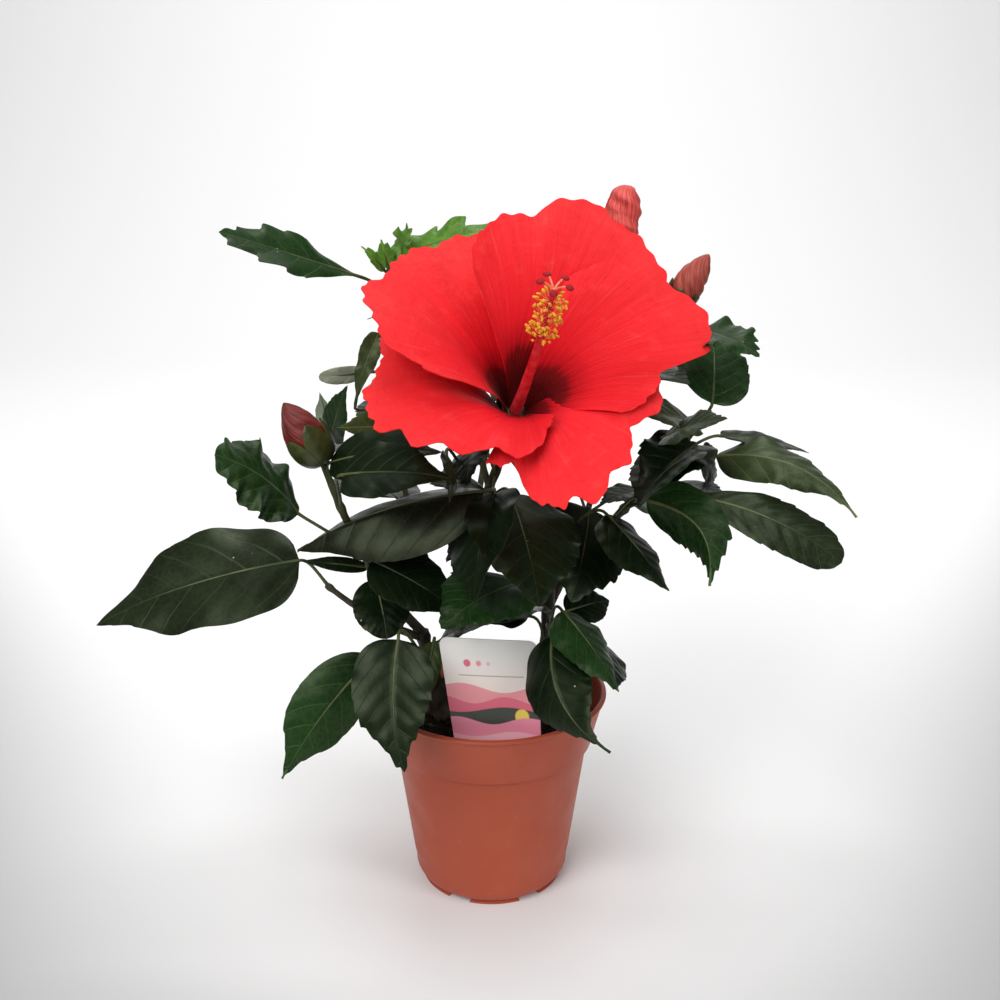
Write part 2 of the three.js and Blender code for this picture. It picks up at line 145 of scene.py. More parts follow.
def gridFaces(rows, columns):
    return [(i * columns + j, (i + 1) * columns + j, (i + 1) * columns + j + 1, i * columns + j + 1)
            for i in range(rows - 1) for j in range(columns - 1)]


def tube(path, radii, sides):
    # a closed tube along a path; radii has a number for each ring, or for each point of each ring
    dome = 0.6  # how far each end rises, in radii
    path = np.asarray(path, float)
    rings = len(path)
    ahead = unit(np.gradient(path, axis=0))
    side = np.cross(ahead[0], [0.3, 1, 0.2])
    turns = np.arange(sides) / sides * 2 * math.pi
    radii = np.asarray(radii, float)
    radii = np.broadcast_to(radii[:, None] if radii.ndim == 1 else radii, (rings, sides))
    points = []
    for i in range(rings):
        side = unit(side - ahead[i] * (side @ ahead[i]))
        up = np.cross(ahead[i], side)
        points.append(path[i] + radii[i][:, None] * spokesAt(turns, side, up))
    points = np.concatenate(points)
    foot = path[0] - ahead[0] * radii[0].mean() * dome
    tip = path[-1] + ahead[-1] * radii[-1].mean() * dome
    points = np.vstack([points, foot, tip])
    faces = []
    for j in range(sides):
        k = (j + 1) % sides
        faces += [(i * sides + j, i * sides + k, (i + 1) * sides + k, (i + 1) * sides + j)
                  for i in range(rings - 1)]
        faces.append((rings * sides, k, j))
        faces.append((rings * sides + 1, (rings - 1) * sides + j, (rings - 1) * sides + k))
    return points, faces


def bezier(a, b, c, d, steps):
    t = np.linspace(0, 1, steps)[:, None]
    return (1 - t) ** 3 * a + 3 * t * (1 - t) ** 2 * b + 3 * t * t * (1 - t) * c + t ** 3 * d


def bow(a, pull, b, t):
    return (1 - t) ** 2 * a + 2 * t * (1 - t) * pull + t ** 2 * b


def overGrid(down, across):
    # one array that changes from row to row and one that changes from column to column
    return down[:, None] * np.ones((1, len(across))), across[None, :] * np.ones((len(down), 1))


def spokesAt(turn, side, up):
    return np.cos(turn)[..., None] * side + np.sin(turn)[..., None] * up


# small helpers for materials


def startMaterial(name, **settings):
    material = bpy.data.materials.new(name)
    material.use_nodes = True
    tree = material.node_tree
    shader = tree.nodes["Principled BSDF"]
    for socket, value in settings.items():
        shader.inputs[socket].default_value = value
    return material, tree, shader.inputs


def put(tree, kind, inputs=None, **settings):
    node = tree.nodes.new("ShaderNode" + kind)
    for name, value in settings.items():
        setattr(node, name, value)
    for name, value in (inputs or {}).items():
        if isinstance(value, bpy.types.NodeSocket):
            tree.links.new(value, node.inputs[name])
        else:
            node.inputs[name].default_value = value
    return node.outputs


def calc(tree, operation, a, b=0.0):
    return put(tree, "Math", {0: a, 1: b}, operation=operation)[0]


def times(tree, a, b):
    return calc(tree, "MULTIPLY", a, b)


def plus(tree, a, b):
    return calc(tree, "ADD", a, b)


def minus(tree, a, b):
    return calc(tree, "SUBTRACT", a, b)


def blendColour(tree, share, a, b):
    return put(tree, "Mix", {0: share, 6: a, 7: b}, data_type="RGBA")[2]


def spread(tree, value, low, high, toLow=0.0, toHigh=1.0):
    inputs = {"Value": value, "From Min": low, "From Max": high, "To Min": toLow, "To Max": toHigh}
    return put(tree, "MapRange", inputs, interpolation_type="SMOOTHSTEP")[0]


def fade(tree, value, low, high):
    return spread(tree, value, low, high, 1.0, 0.0)


def objectPlace(tree):
    return put(tree, "TexCoord")["Object"]


def parts(tree, vector):
    return put(tree, "SeparateXYZ", {0: vector})


def uvMap(tree, name):
    return put(tree, "UVMap", uv_map=name)[0]


def scaledPlace(tree, x, y, paceX, paceY, level=0.0):
    inputs = {"X": times(tree, x, paceX), "Y": times(tree, y, paceY), "Z": level}
    return put(tree, "CombineXYZ", inputs)[0]


def speckle(tree, place, scale, detail=4.0, rough=0.55, stretch=None):
    if stretch:
        place = put(tree, "Mapping", {"Vector": place, "Scale": stretch})[0]
    inputs = {"Vector": place, "Scale": scale, "Detail": detail, "Roughness": rough}
    return put(tree, "TexNoise", inputs)["Fac"]


def bump(tree, height, strength, distance, normal=None):
    inputs = {"Height": height, "Strength": strength, "Distance": distance}
    if normal is not None:
        inputs["Normal"] = normal
    return put(tree, "Bump", inputs)[0]


def rgb(*numbers):
    return (*numbers, 1.0)


def wire(tree, shader, **sockets):
    # colour, rough and normal are what feeds the shader
    for key, name in (("colour", "Base Color"), ("rough", "Roughness"), ("normal", "Normal")):
        if key in sockets:
            tree.links.new(sockets[key], shader[name])


# leaf veins, shared by every leaf's material

veinLook = {"midrib": 0.46, "lateral": 0.045, "netCell": 0.0042, "wobble": 0.12}


def makeVeinGroup():
    group = bpy.data.node_groups.new("leafVeins", "ShaderNodeTree")
    for name in ("Leaf", "Veins", "Place"):
        group.interface.new_socket(name, in_out="INPUT", socket_type="NodeSocketVector")
    for name in ("Midrib", "Laterals", "Net", "Height"):
        group.interface.new_socket(name, in_out="OUTPUT", socket_type="NodeSocketFloat")
    way = group.nodes.new("NodeGroupInput").outputs
    out = group.nodes.new("NodeGroupOutput").inputs
    along = parts(group, way["Leaf"])["X"]
    veins = parts(group, way["Veins"])
    narrowing = times(group, minus(group, 1.05, along), veinLook["midrib"])
    midrib = fade(group, minus(group, calc(group, "ABSOLUTE", veins["Y"]), narrowing), 0.0, 0.25)
    # the side veins of the two halves stand half a step apart
    shifted = plus(group, veins["X"], times(group, calc(group, "LESS_THAN", veins["Y"], 0.0), 0.5))
    wobble = times(group, speckle(group, way["Place"], 90.0, 2.0), veinLook["wobble"])
    phase = calc(group, "FRACT", plus(group, shifted, wobble))
    fromVein = minus(group, 0.5, calc(group, "ABSOLUTE", minus(group, phase, 0.5)))
    laterals = fade(group, fromVein, 0.012, veinLook["lateral"])
    cells = put(group, "TexVoronoi", {"Vector": way["Place"], "Scale": 1 / veinLook["netCell"]},
                feature="DISTANCE_TO_EDGE")[0]
    net = fade(group, cells, 0.0, 0.16)
    sunk = calc(group, "MAXIMUM", midrib, times(group, laterals, 0.8))
    height = minus(group, 1.0, calc(group, "MAXIMUM", sunk, times(group, net, 0.08)))
    for name, value in (("Midrib", midrib), ("Laterals", laterals), ("Net", net), ("Height", height)):
        group.links.new(value, out[name])
    return group


veinGroup = makeVeinGroup()

leafLooks = {
    "dark": {"deep": (0.001, 0.004, 0.001), "light": (0.004, 0.011, 0.003), "vein": (0.016, 0.029, 0.010)},
    "grey": {"deep": (0.006, 0.010, 0.004), "light": (0.013, 0.021, 0.008), "vein": (0.038, 0.052, 0.022)},
    "mid": {"deep": (0.004, 0.017, 0.004), "light": (0.012, 0.042, 0.009), "vein": (0.050, 0.095, 0.024)},
    "olive": {"deep": (0.022, 0.034, 0.010), "light": (0.050, 0.068, 0.022), "vein": (0.110, 0.140, 0.055)},
    "dullOlive": {"deep": (0.015, 0.024, 0.008), "light": (0.034, 0.048, 0.017),
                  "vein": (0.080, 0.105, 0.045)},
    "brown": {"deep": (0.003, 0.005, 0.002), "light": (0.009, 0.009, 0.004), "vein": (0.040, 0.046, 0.024)},
    "pale": {"deep": (0.140, 0.175, 0.120), "light": (0.240, 0.280, 0.200), "vein": (0.340, 0.380, 0.300)},
    # painted light: a pale grey-green far brighter than a leaf's own colour, for a leaf that sits in shade
    "silver": {"deep": (0.33, 0.40, 0.29), "light": (0.50, 0.58, 0.44), "vein": (0.58, 0.65, 0.50)},
    "young": {"deep": (0.045, 0.130, 0.012), "light": (0.110, 0.260, 0.030), "vein": (0.240, 0.420, 0.080)},
}

# a leaf's top and its underside: pale is added to the colours, gain multiplies them
leafSides = {
    "top": {"rough": 0.35, "shine": 0.27, "dust": 0.75, "pale": (0, 0, 0), "gain": (1, 1, 1)},
    "under": {"rough": 0.55, "shine": 0.14, "dust": 0.0, "pale": (1, 1.6, 2.5), "gain": (1.4, 1.3, 1.2)},
}
paleUnder = (0.008, 0.013, 0.006)
veinShares = {"Net": 0.16, "Laterals": 0.32, "Midrib": 0.6}


def leafMaterial(key, sideName):
    leafSide = leafSides[sideName]
    material, tree, shader = startMaterial(f"leaf{sideName.capitalize()}_{key}", **{
        "Specular IOR Level": leafSide["shine"], "Specular Tint": rgb(0.80, 0.95, 0.62)})
    place = objectPlace(tree)
    veins = tree.nodes.new("ShaderNodeGroup")
    veins.node_tree = veinGroup
    for name, value in (("Leaf", uvMap(tree, "Leaf")), ("Veins", uvMap(tree, "Veins")), ("Place", place)):
        tree.links.new(value, veins.inputs[name])
    deep, light, vein = (
        rgb(*(pale * rest + gain * part for rest, part in zip(paleUnder, leafLooks[key][tone])))
        for tone, pale, gain in zip(("deep", "light", "vein"), leafSide["pale"], leafSide["gain"]))
    colour = blendColour(tree, spread(tree, speckle(tree, place, 28.0, 3.0), 0.3, 0.7), deep, light)
    for name, share in veinShares.items():
        colour = blendColour(tree, times(tree, veins.outputs[name], share), colour, vein)
    # a few specks of dust
    dust = put(tree, "TexVoronoi", {"Vector": place, "Scale": 210.0}, feature="F1")
    tint = put(tree, "SeparateColor", {0: dust["Color"]})[0]
    fleck = times(tree, fade(tree, dust["Distance"], 0.05, 0.13), calc(tree, "GREATER_THAN", tint, 0.955))
    colour = blendColour(tree, times(tree, fleck, leafSide["dust"]), colour, rgb(0.55, 0.58, 0.5))
    wear = times(tree, speckle(tree, place, 160.0, 3.0), 0.22)
    relief = plus(tree, veins.outputs["Height"], times(tree, speckle(tree, place, 900.0, 2.0), 0.12))
    if sideName == "under":
        relief = minus(tree, 1.0, relief)
    wire(tree, shader, colour=colour, rough=plus(tree, wear, leafSide["rough"] - 0.1),
         normal=bump(tree, relief, 0.45, 0.0003))
    return material


leafMaterials = {key: [leafMaterial(key, sideName) for sideName in leafSides] for key in leafLooks}
print("stage: leaf materials made")

# stems and boughs: rods along one bent line each, with bark in relief

limbs = {
    "stem_left": {"from": (-28, -4, 98), "through": (-33, -6, 127),
                  "to": (-38, -9, 153), "radii": (4.4, 3.4)},
    "stem_centre": {"from": (-13, 3, 98), "through": (-20, 0, 165),
                    "to": (12, 6, 262), "radii": (3.6, 2.1)},
    "stem_right": {"from": (34, 2, 98), "through": (36, 6, 215),
                   "to": (66, 38, 342), "radii": (4.2, 1.6)},
    "bough_left_low": {"parent": "stem_left", "at": 0.92, "through": (-62, -23, 167),
                       "to": (-86, -31, 189), "radii": (2.4, 1.4)},
    "bough_left_bud": {"parent": "stem_left", "at": 1, "through": (-64, -24, 198),
                       "to": (-84, -42, 260), "radii": (2.8, 1.7)},
    "bough_top_left": {"parent": "stem_centre", "at": 0.86, "through": (-20, 22, 285),
                       "to": (-48, 26, 343), "radii": (1.9, 1.1)},
    "bough_right": {"parent": "stem_right", "at": 0.36, "through": (72, -3, 222),
                    "to": (114, -8, 276), "radii": (2.6, 1.3)},
    "bough_right_bud": {"parent": "stem_right", "at": 0.64, "through": (76, 24, 290),
                        "to": (97, 18, 328), "radii": (1.7, 1.2)},
    "bough_back_left": {"parent": "stem_centre", "at": 0.38, "through": (-46, 42, 205),
                        "to": (-64, 82, 258), "radii": (2.3, 1.2)},
    "bough_back_right": {"parent": "stem_right", "at": 0.28, "through": (58, 50, 212),
                         "to": (66, 90, 264), "radii": (2.3, 1.2)},
    "bough_back": {"parent": "stem_centre", "at": 0.7, "through": (-2, 48, 248),
                   "to": (6, 72, 308), "radii": (2, 1.1)},
    "flower_stalk": {"parent": "stem_centre", "at": 0.97, "through": (10, -16, 261),
                     "to": (7, -36.5, 267.5), "radii": (1.7, 1.9)},
}
barkLook = {"sides": 16, "step": 1.4, "flare": 0.5, "flareLength": 9, "relief": 0.096, "knot": 0.55,
            "old": ((0.030, 0.024, 0.014), (0.085, 0.068, 0.040)),
            "green": ((0.030, 0.042, 0.014), (0.075, 0.085, 0.030)), "pore": (0.20, 0.17, 0.11)}


def limbEnds(name):
    limb = limbs[name]
    foot = limbPoint(limb["parent"], limb["at"]) if "parent" in limb else np.array(limb["from"], float)
    tip = np.array(limb["to"], float)
    return foot, 2 * np.array(limb["through"], float) - (foot + tip) / 2, tip


def limbPoint(name, along):
    return bow(*limbEnds(name), along)


def limbRadius(name, along):
    thick, thin = limbs[name]["radii"]
    return thick + (thin - thick) * along


# the leaves: stalk (heading, rise, length), blade (heading, rise, length, width), roll, droop, form

plainForm = {"rise": 0.46, "fall": 1.05, "point": 0.35, "fold": 8, "edgeDrop": 0.10, "wave": 0.05,
             "waves": 2.0, "teeth": 11, "tooth": 0.024, "twist": 0, "curl": 0.03, "pillow": 0.35,
             "pairs": 6, "sway": 0, "tuck": (0, 0), "look": "dark"}
sprays = {
    "far_left": ("bough_left_low", 0.97, [
        ((-160, 48, 23), (-176, -17, 112, 60), -38, 28,
         {"look": "grey", "tooth": 0.006, "waves": 1.5, "wave": 0.11, "fold": 5, "fall": 0.85,
          "point": 0.45, "sway": -4}),
    ]),
    "long_left": ("stem_centre", 0.66, [
        ((-77, 48, 70), (177, -19, 102, 56), -56, 18,
         {"look": "brown", "tooth": 0.006, "fold": 4, "pillow": 0.4, "rise": 0.5, "fall": 0.8,
          "wave": 0.015, "tuck": (62, 0), "sway": -22}),
    ]),
    "bud_left": ("bough_left_bud", 0.8, [
        ((-78, 42, 38), (-23, 5, 58, 36), 34, 24, {"tooth": 0.01, "fold": 14}),
        ((-104, 68, 29), (-17, 10, 60, 32), 32, 26, {"tooth": 0.02}),
        ((109, 64, 35), (-45, 66, 34, 20), 86, 20, {"look": "mid", "tooth": 0.02}),
        ((108, 50, 37), (-107, 73, 30, 16), -15, 16, {"look": "pale", "tooth": 0.01}),
    ]),
    "folded_left": ("bough_left_bud", 0.5, [
        ((-143, 42, 54), (-152, 42, 54, 44), -52, 14,
         {"look": "mid", "fold": 14, "tooth": 0.03, "wave": 0.13, "waves": 3.0, "rise": 0.5,
          "fall": 0.6, "point": 0.1, "pillow": 0.9, "pairs": 5, "sway": -34, "tuck": (30, 0)}),
    ]),
    "olive_left": ("bough_top_left", 0.5, [
        ((-119, -16, 50), (-149, 8, 39, 20), -60, 16, {"look": "olive", "tooth": 0.02, "fold": 4}),
        ((-147, -3, 60), (10, 70, 39, 11), 50, 30,
         {"look": "olive", "wave": 0.24, "twist": 50, "rise": 1.1, "fall": 0.4, "point": 0}),
        # this leaf's pale colour is painted light
        ((-163, 11, 49), (-144, 2, 28, 10), -102, 12,
         {"look": "silver", "tooth": 0.01, "rise": 0.4, "fall": 0.4, "point": 0.1}),
    ]),
    "high_left": ("bough_top_left", 0.74, [
        ((-161, 41, 48), (-143, 20, 84, 27), -46, 12,
         {"look": "mid", "fold": 10, "tooth": 0.11, "wave": 0.16, "waves": 1.7, "teeth": 7, "rise": 1.5,
          "fall": 0.8, "point": 0.5, "sway": 14}),
    ]),
    "new_tip": ("bough_top_left", 0.97, [
        ((-112, 65, 16), (-7, 16, 51, 21), 40, 16,
         {"look": "young", "tooth": 0.26, "teeth": 3.4, "wave": 0.2, "waves": 2, "fall": 0.8,
          "point": 0.1}),
        ((-92, 59, 16), (-47, 72, 17, 23), 75, 20,
         {"look": "young", "tooth": 0.15, "teeth": 4, "wave": 0.2}),
        ((-128, 28, 17), (-143, 45, 19, 7), -70, 22,
         {"look": "young", "tooth": 0.12, "teeth": 4, "point": 0.7}),
        ((-121, 33, 17), (180, 77, 15, 9), -75, 16,
         {"look": "young", "tooth": 0.12, "teeth": 4, "point": 0.6}),
        ((-127, 35, 15), (18, 54, 14, 11), 60, 20, {"look": "young", "tooth": 0.12, "teeth": 4}),
    ]),
    "high_right": ("bough_right_bud", 0.75, [
        ((-53, 16, 32), (-35, -14, 37, 42), 8, 34, {"look": "mid", "tooth": 0.04, "wave": 0.12}),
    ]),
    "round_right": ("bough_right", 0.97, [
        ((-45, 62, 11), (84, 30, 56, 42), 22, 30,
         {"look": "mid", "fold": 4, "fall": 0.6, "point": 0.0}),
    ]),
    "fold_right": ("bough_right", 0.86, [
        ((-63, 56, 15), (-143, 16, 42, 30), -25, 22, {"look": "olive", "tooth": 0.02}),
        ((-67, 10, 12), (-128, -14, 57, 36), -14, 20, {"fold": 24, "wave": 0.10}),
        ((-93, -2, 23), (-126, -16, 52, 38), 13, 30, {"fold": 20}),
        ((-118, 19, 32), (-43, 24, 40, 28), 23, 16, {"look": "grey", "tooth": 0.02}),
    ]),
    "long_right": ("bough_right", 0.74, [
        ((-9, 15, 28), (-39, -12, 82, 30), 32, 24,
         {"look": "dullOlive", "wave": 0.22, "waves": 1.4, "pillow": 0.6, "point": 0.5, "fall": 1.2,
          "sway": 58, "tuck": (20, 25)}),
        ((9, 27, 35), (18, -14, 56, 20), 10, 16, {"look": "grey", "tooth": 0.02}),
    ]),
    "broad_right": ("bough_right", 0.5, [
        ((-39, 20, 45), (-23, -18, 81, 30), 46, 16,
         {"look": "grey", "tooth": 0.03, "rise": 0.7, "fall": 0.45, "point": 0, "pillow": 0.7,
          "pairs": 8, "sway": 26, "tuck": (0, 20)}),
        ((10, 25, 32), (-48, -2, 34, 24), -4, 20, {"tooth": 0.03}),
    ]),
    "droop_right": ("bough_right", 0.33, [
        ((-55, 38, 48), (-50, -37, 56, 35), 24, 22,
         {"look": "mid", "tooth": 0.035, "fold": 10, "point": 0.5, "sway": 100, "tuck": (74, 0)}),
    ]),
    "dark_right": ("stem_right", 0.44, [
        ((-43, 34, 44), (-45, -36, 53, 33), 20, 20, {"tooth": 0.02, "fall": 0.9, "tuck": (0, 40)}),
        ((9, 43, 27), (-103, -34, 62, 50), -30, 26, {"tooth": 0.03, "fall": 0.8}),
        ((170, 30, 26), (-130, -10, 56, 46), 8, 26, {"tooth": 0.02}),
    ]),
    "centre": ("stem_centre", 0.8, [
        ((-80, 27, 48), (-100, -34, 66, 50), 42, 18, {"tooth": 0.012}),
        ((-66, 28, 43), (-76, -34, 70, 60), -12, 22, {"tooth": 0.02, "fall": 0.8}),
        ((-109, 42, 66), (-84, -35, 30, 18), -64, 14, {"look": "olive", "tooth": 0.02}),
    ]),
    "centre_low": ("stem_centre", 0.5, [
        ((-50, 28, 62), (-135, -8, 56, 48), -10, 34, {"look": "mid", "tooth": 0.02, "fall": 0.8}),
    ]),
    "inner": ("stem_centre", 0.9, [
        ((-106, -41, 14), (-137, 20, 44, 32), -20, 26, {"tooth": 0.04}),
        ((-109, 42, 37), (-99, -23, 36, 28), 36, 24, {"tooth": 0.05}),
    ]),
    "dark_left": ("bough_left_low", 0.35, [
        ((-107, 64, 50), (-13, -28, 52, 38), 26, 26, {"tooth": 0.01, "fall": 0.8}),
        ((-132, 69, 40), (-135, 19, 45, 8), -70, 12, {"tooth": 0.01, "fall": 0.8}),
    ]),
    "round_left": ("stem_left", 0.75, [
        ((-138, 57, 61), (-72, -49, 33, 30), 0, 22,
         {"tooth": 0.008, "fold": 4, "fall": 0.55, "point": 0.1}),
        ((-31, 45, 12), (-36, 33, 36, 26), 25, 20, {"tooth": 0.02}),
    ]),
    "low_left": ("stem_left", 0.5, [
        ((-106, 39, 66), (-83, -58, 67, 42), 14, 18, {"tooth": 0.03, "fold": 14, "sway": -24}),
        ((-122, 29, 60), (-151, -47, 77, 37), -52, 18,
         {"look": "mid", "tooth": 0.012, "fold": 12, "point": 0.5, "rise": 0.6, "fall": 0.9,
          "sway": -18, "tuck": (0, 38)}),
        ((-84, 50, 38), (-107, -56, 36, 13), -20, 14, {"look": "olive", "tooth": 0.02}),
    ]),
    "low_right": ("stem_right", 0.2, [
        ((-89, 27, 56), (-52, -47, 67, 40), 14, 20,
         {"tooth": 0.02, "fall": 1.2, "point": 0.6, "fold": 14, "sway": -85, "tuck": (66, 0)}),
        ((-81, 39, 55), (-43, -41, 50, 38), 8, 22, {"look": "mid", "tooth": 0.03, "tuck": (0, 28)}),
        ((-30, 12, 33), (-80, -16, 40, 30), -44, 20, {"tooth": 0.015}),
        ((-74, 44, 43), (39, -3, 32, 22), 40, 20, {"tooth": 0.01, "fall": 0.7}),
    ]),
    "card_top": ("stem_right", 0.1, [
        ((-109, 70, 54), (-140, -1, 54, 42), 10, 26, {"tooth": 0.02}),
        ((-130, 68, 47), (172, 2, 46, 38), -6, 26, {"tooth": 0.02}),
    ]),
}
sideShoots = {
    "under_right": ("bough_right_bud", 0.75, [
        ((-131, -51, 20), (-57, 1, 40, 28), 7, 20, {"look": "grey", "tooth": 0.02})]),
    "stub_right": ("bough_right", 0.5, [
        ((-7, 55, 14), (-139, -3, 30, 22), -5, 14, {"tooth": 0.05}),
        ((10, 34, 50), (54, -38, 28, 22), 77, 14, {"tooth": 0.05})]),
}
backRule = {  # the boughs at the back: each pair of leaves turns on by the golden angle
    "bough_back_left": {"places": (0.42, 0.7, 0.97), "heading": 124, "length": 84},
    "bough_back_right": {"places": (0.42, 0.7, 0.97), "heading": 110, "length": 82},
    "bough_back": {"places": (0.5, 0.97), "heading": 60, "length": 67},
}
goldenAngle = 137.5
for limbName, rule in backRule.items():
    for step, at in enumerate(rule["places"]):
        heading, length = rule["heading"] + goldenAngle * step, rule["length"] * (1 - 0.12 * step)
        pair = []
        for k in (0, 1):
            pair.append(((heading - 110 * k, 34 - 8 * k, 26 - 3 * step),
                         (heading - 140 * k, 8 * step - 14 * k - 8, length * (1 - 0.2 * k),
                          length * (0.6 - 0.12 * k)), 8 - 16 * k, 28,
                         {"look": ("dark", "mid", "grey")[(step + k) % 3], "tooth": 0.04}))
        sprays[f"{limbName[6:]}_{step + 1}"] = (limbName, at, pair)

leafGrid = {"along": 64, "across": 18, "thickness": 0.4}
stalkLook = {"foot": 1.15, "neck": 0.85, "tip": 0.12, "sides": 8,
             "tones": ((0.035, 0.060, 0.016), (0.105, 0.120, 0.036))}


def leafSheet(base, leaf, dice):
    blade, roll, droop, form = leaf[1], leaf[2], leaf[3], {**plainForm, **leaf[4]}
    heading, rise, length, width = blade
    forward = direction(heading, rise)
    across = turned(direction(heading + 90, 0), forward, roll)
    normal = np.cross(forward, across)
    rows, columns = leafGrid["along"] + 1, leafGrid["across"] + 1
    u, v = overGrid(np.linspace(0, 1, rows), np.linspace(-1, 1, columns))
    left = (v < 0).astype(int)
    widest = form["rise"] / (form["rise"] + form["fall"])
    swell = (u / widest) ** form["rise"] * ((1 - u) / (1 - widest)) ** form["fall"]
    swell = swell * (1 - form["point"] * ease(0.6, 0.93, u))
    half = np.maximum(width / 2 * swell, 0.9 * (1 - u) + 0.1)
    # teeth that lean forward, each of its own size
    phase = form["teeth"] * (u + 0.25 * u * (1 - u)) + dice.random(2)[left]
    share = phase % 1
    ramp = np.where(share < 0.8, share / 0.8, (1 - share) / 0.2)
    size = dice.uniform(0.35, 1.3, (2, 40))[left, np.floor(phase).astype(int)]
    tooth = width * form["tooth"] * ramp * size * ease(0.28, 0.5, u) * (1 - ease(0.93, 1, u))
    margin = np.abs(v) ** 5
    y = v * half + np.sign(v) * tooth * margin
    x = u * length + tooth * margin * 1.1
    # the blade's relief: folded along the midrib, edges falling, waves, and swollen between the veins
    away = np.abs(y)
    spacing = length / form["pairs"]
    veinPhase = (x - 0.7 * away - 0.9 * away ** 2 / width) / spacing
    z = math.tan(math.radians(form["fold"])) * (np.sqrt(away ** 2 + 2.2) - 1.48)
    z -= form["edgeDrop"] * half * np.abs(v) ** 3
    shift = dice.random(4)
    ripple = np.sin(2 * math.pi * (form["waves"] * u + shift[left]))
    ripple += 0.45 * np.sin(2 * math.pi * (form["waves"] * 2.3 * u + shift[2 + left]))
    z += form["wave"] * half * np.abs(v) ** 1.8 * ripple
    between = np.sin(math.pi * (veinPhase + 0.5 * left)) ** 2
    swollen = between ** 0.6 * np.minimum(1, away / 4) * (1 - margin) * np.minimum(1, half / 10)
    z += form["pillow"] * swollen
    z -= form["curl"] * length * ease(0.6, 1, u) * (u - 0.6)
    # each half may be tucked back about the midrib
    tuck = np.radians(form["tuck"])[1 - left]
    away, z = np.abs(y) * np.cos(tuck) + z * np.sin(tuck), z * np.cos(tuck) - np.abs(y) * np.sin(tuck)
    leafMap = np.stack([u, v * 0.5 + 0.5], -1)
    veinMap = np.stack([veinPhase + 6, y], -1)
    y = np.sign(v) * away
    bend = math.radians(droop)
    arc = length / (2 * math.sin(bend / 2))
    turn = bend * (x / length - 0.5)
    # the midrib sways to one side in the blade's own plane
    sway = math.radians(form["sway"] or 0.01)
    lean = sway * (x / length - 0.5)
    aside = length / (2 * math.sin(sway / 2)) * (np.cos(lean) - math.cos(sway / 2))
    side = np.cos(lean)[..., None] * across + np.sin(lean)[..., None] * forward
    twist = np.radians(form["twist"] + dice.uniform(-6, 6)) * (u - 0.3)
    upward = np.sin(turn)[..., None] * forward + np.cos(turn)[..., None] * normal
    sideways = np.cos(twist)[..., None] * side + np.sin(twist)[..., None] * upward
    upward = np.cos(twist)[..., None] * upward - np.sin(twist)[..., None] * side
    middle = base + (length / 2 + arc * np.sin(turn))[..., None] * forward + aside[..., None] * across
    middle = middle + (arc * (np.cos(turn) - math.cos(bend / 2)))[..., None] * normal
    points = middle + y[..., None] * sideways + z[..., None] * upward
    ribLine = points[:, columns // 2] - upward[:, columns // 2] * 0.35
    return points, leafMap, veinMap, ribLine


stalks = Heap()
leafCount = 0


def growSpray(name, spray, replaced=True):
    global leafCount
    limbName, at, leaves = spray
    node = limbPoint(limbName, at)
    looks = sorted({leaf[4].get("look", plainForm["look"]) for leaf in leaves})
    heap = Heap()
    for leaf in leaves:
        leafCount += 1
        dice = np.random.default_rng(1000 + leafCount)
        heading, rise, length = leaf[0]
        base = node + direction(heading, rise) * length
        points, leafMap, veinMap, ribLine = leafSheet(base, leaf, dice)
        look = 2 * looks.index(leaf[4].get("look", plainForm["look"]))
        heap.add(points, gridFaces(*points.shape[:2]), look, Leaf=leafMap, Veins=veinMap)
        forward = direction(leaf[1][0], leaf[1][1])
        reach = np.linalg.norm(base - node)
        lift = np.array([0, 0, 0.08 * reach])
        path = bezier(node, node + (base - node) * 0.4 + lift, base - forward * reach * 0.22,
                      ribLine[0], 12)
        path = np.vstack([path[:-1], ribLine[:-4:3]])
        s = np.linspace(0, 1, len(path))
        radii = stalkLook["neck"] + (stalkLook["foot"] - stalkLook["neck"]) * np.exp(-s * 18)
        radii = np.where(s < 0.33, radii, stalkLook["neck"] * (1 - (s - 0.33) / 0.67) + stalkLook["tip"])
        stalks.add(*tube(path, radii, stalkLook["sides"]))
    materials = [material for key in looks for material in leafMaterials[key]]
    obj = heap.build(f"leaf_spray_{name}", materials)
    applyModifier(obj, "SOLIDIFY", thickness=leafGrid["thickness"] * mm, offset=-1,
                  material_offset=1, material_offset_rim=1)
    smooth(obj)
    young = looks == ["young"]
    finishPiece(obj, "young_leaf" if young else "leaf", *([f"leaves_{name}"] if replaced else []))


for name, spray in sprays.items():
    growSpray(name, spray)
for name, spray in sideShoots.items():
    growSpray(name, spray, replaced=False)
print("stage:", leafCount, "leaves grown in", len(sprays) + len(sideShoots), "sprays")


def barkMaterial():
    material, tree, shader = startMaterial("barkBrown", **{"Specular IOR Level": 0.35})
    place = objectPlace(tree)
    cloud = spread(tree, speckle(tree, place, 120.0, 5.0), 0.35, 0.7)
    old, green = (blendColour(tree, cloud, *(rgb(*tone) for tone in barkLook[age]))
                  for age in ("old", "green"))
    colour = blendColour(tree, spread(tree, parts(tree, place)["Z"], 0.15, 0.30), old, green)
    pores = put(tree, "TexVoronoi", {"Vector": place, "Scale": 330.0}, feature="F1")[0]
    pore = fade(tree, pores, 0.10, 0.2)
    colour = blendColour(tree, times(tree, pore, 0.35), colour, rgb(*barkLook["pore"]))
    furrow = speckle(tree, place, 420.0, 4.0, stretch=(1.0, 1.0, 0.22))
    relief = plus(tree, furrow, times(tree, pore, 0.5))
    wire(tree, shader, colour=colour, rough=spread(tree, cloud, 0.0, 1.0, 0.55, 0.8),
         normal=bump(tree, relief, 0.6, 0.0006))
    return material


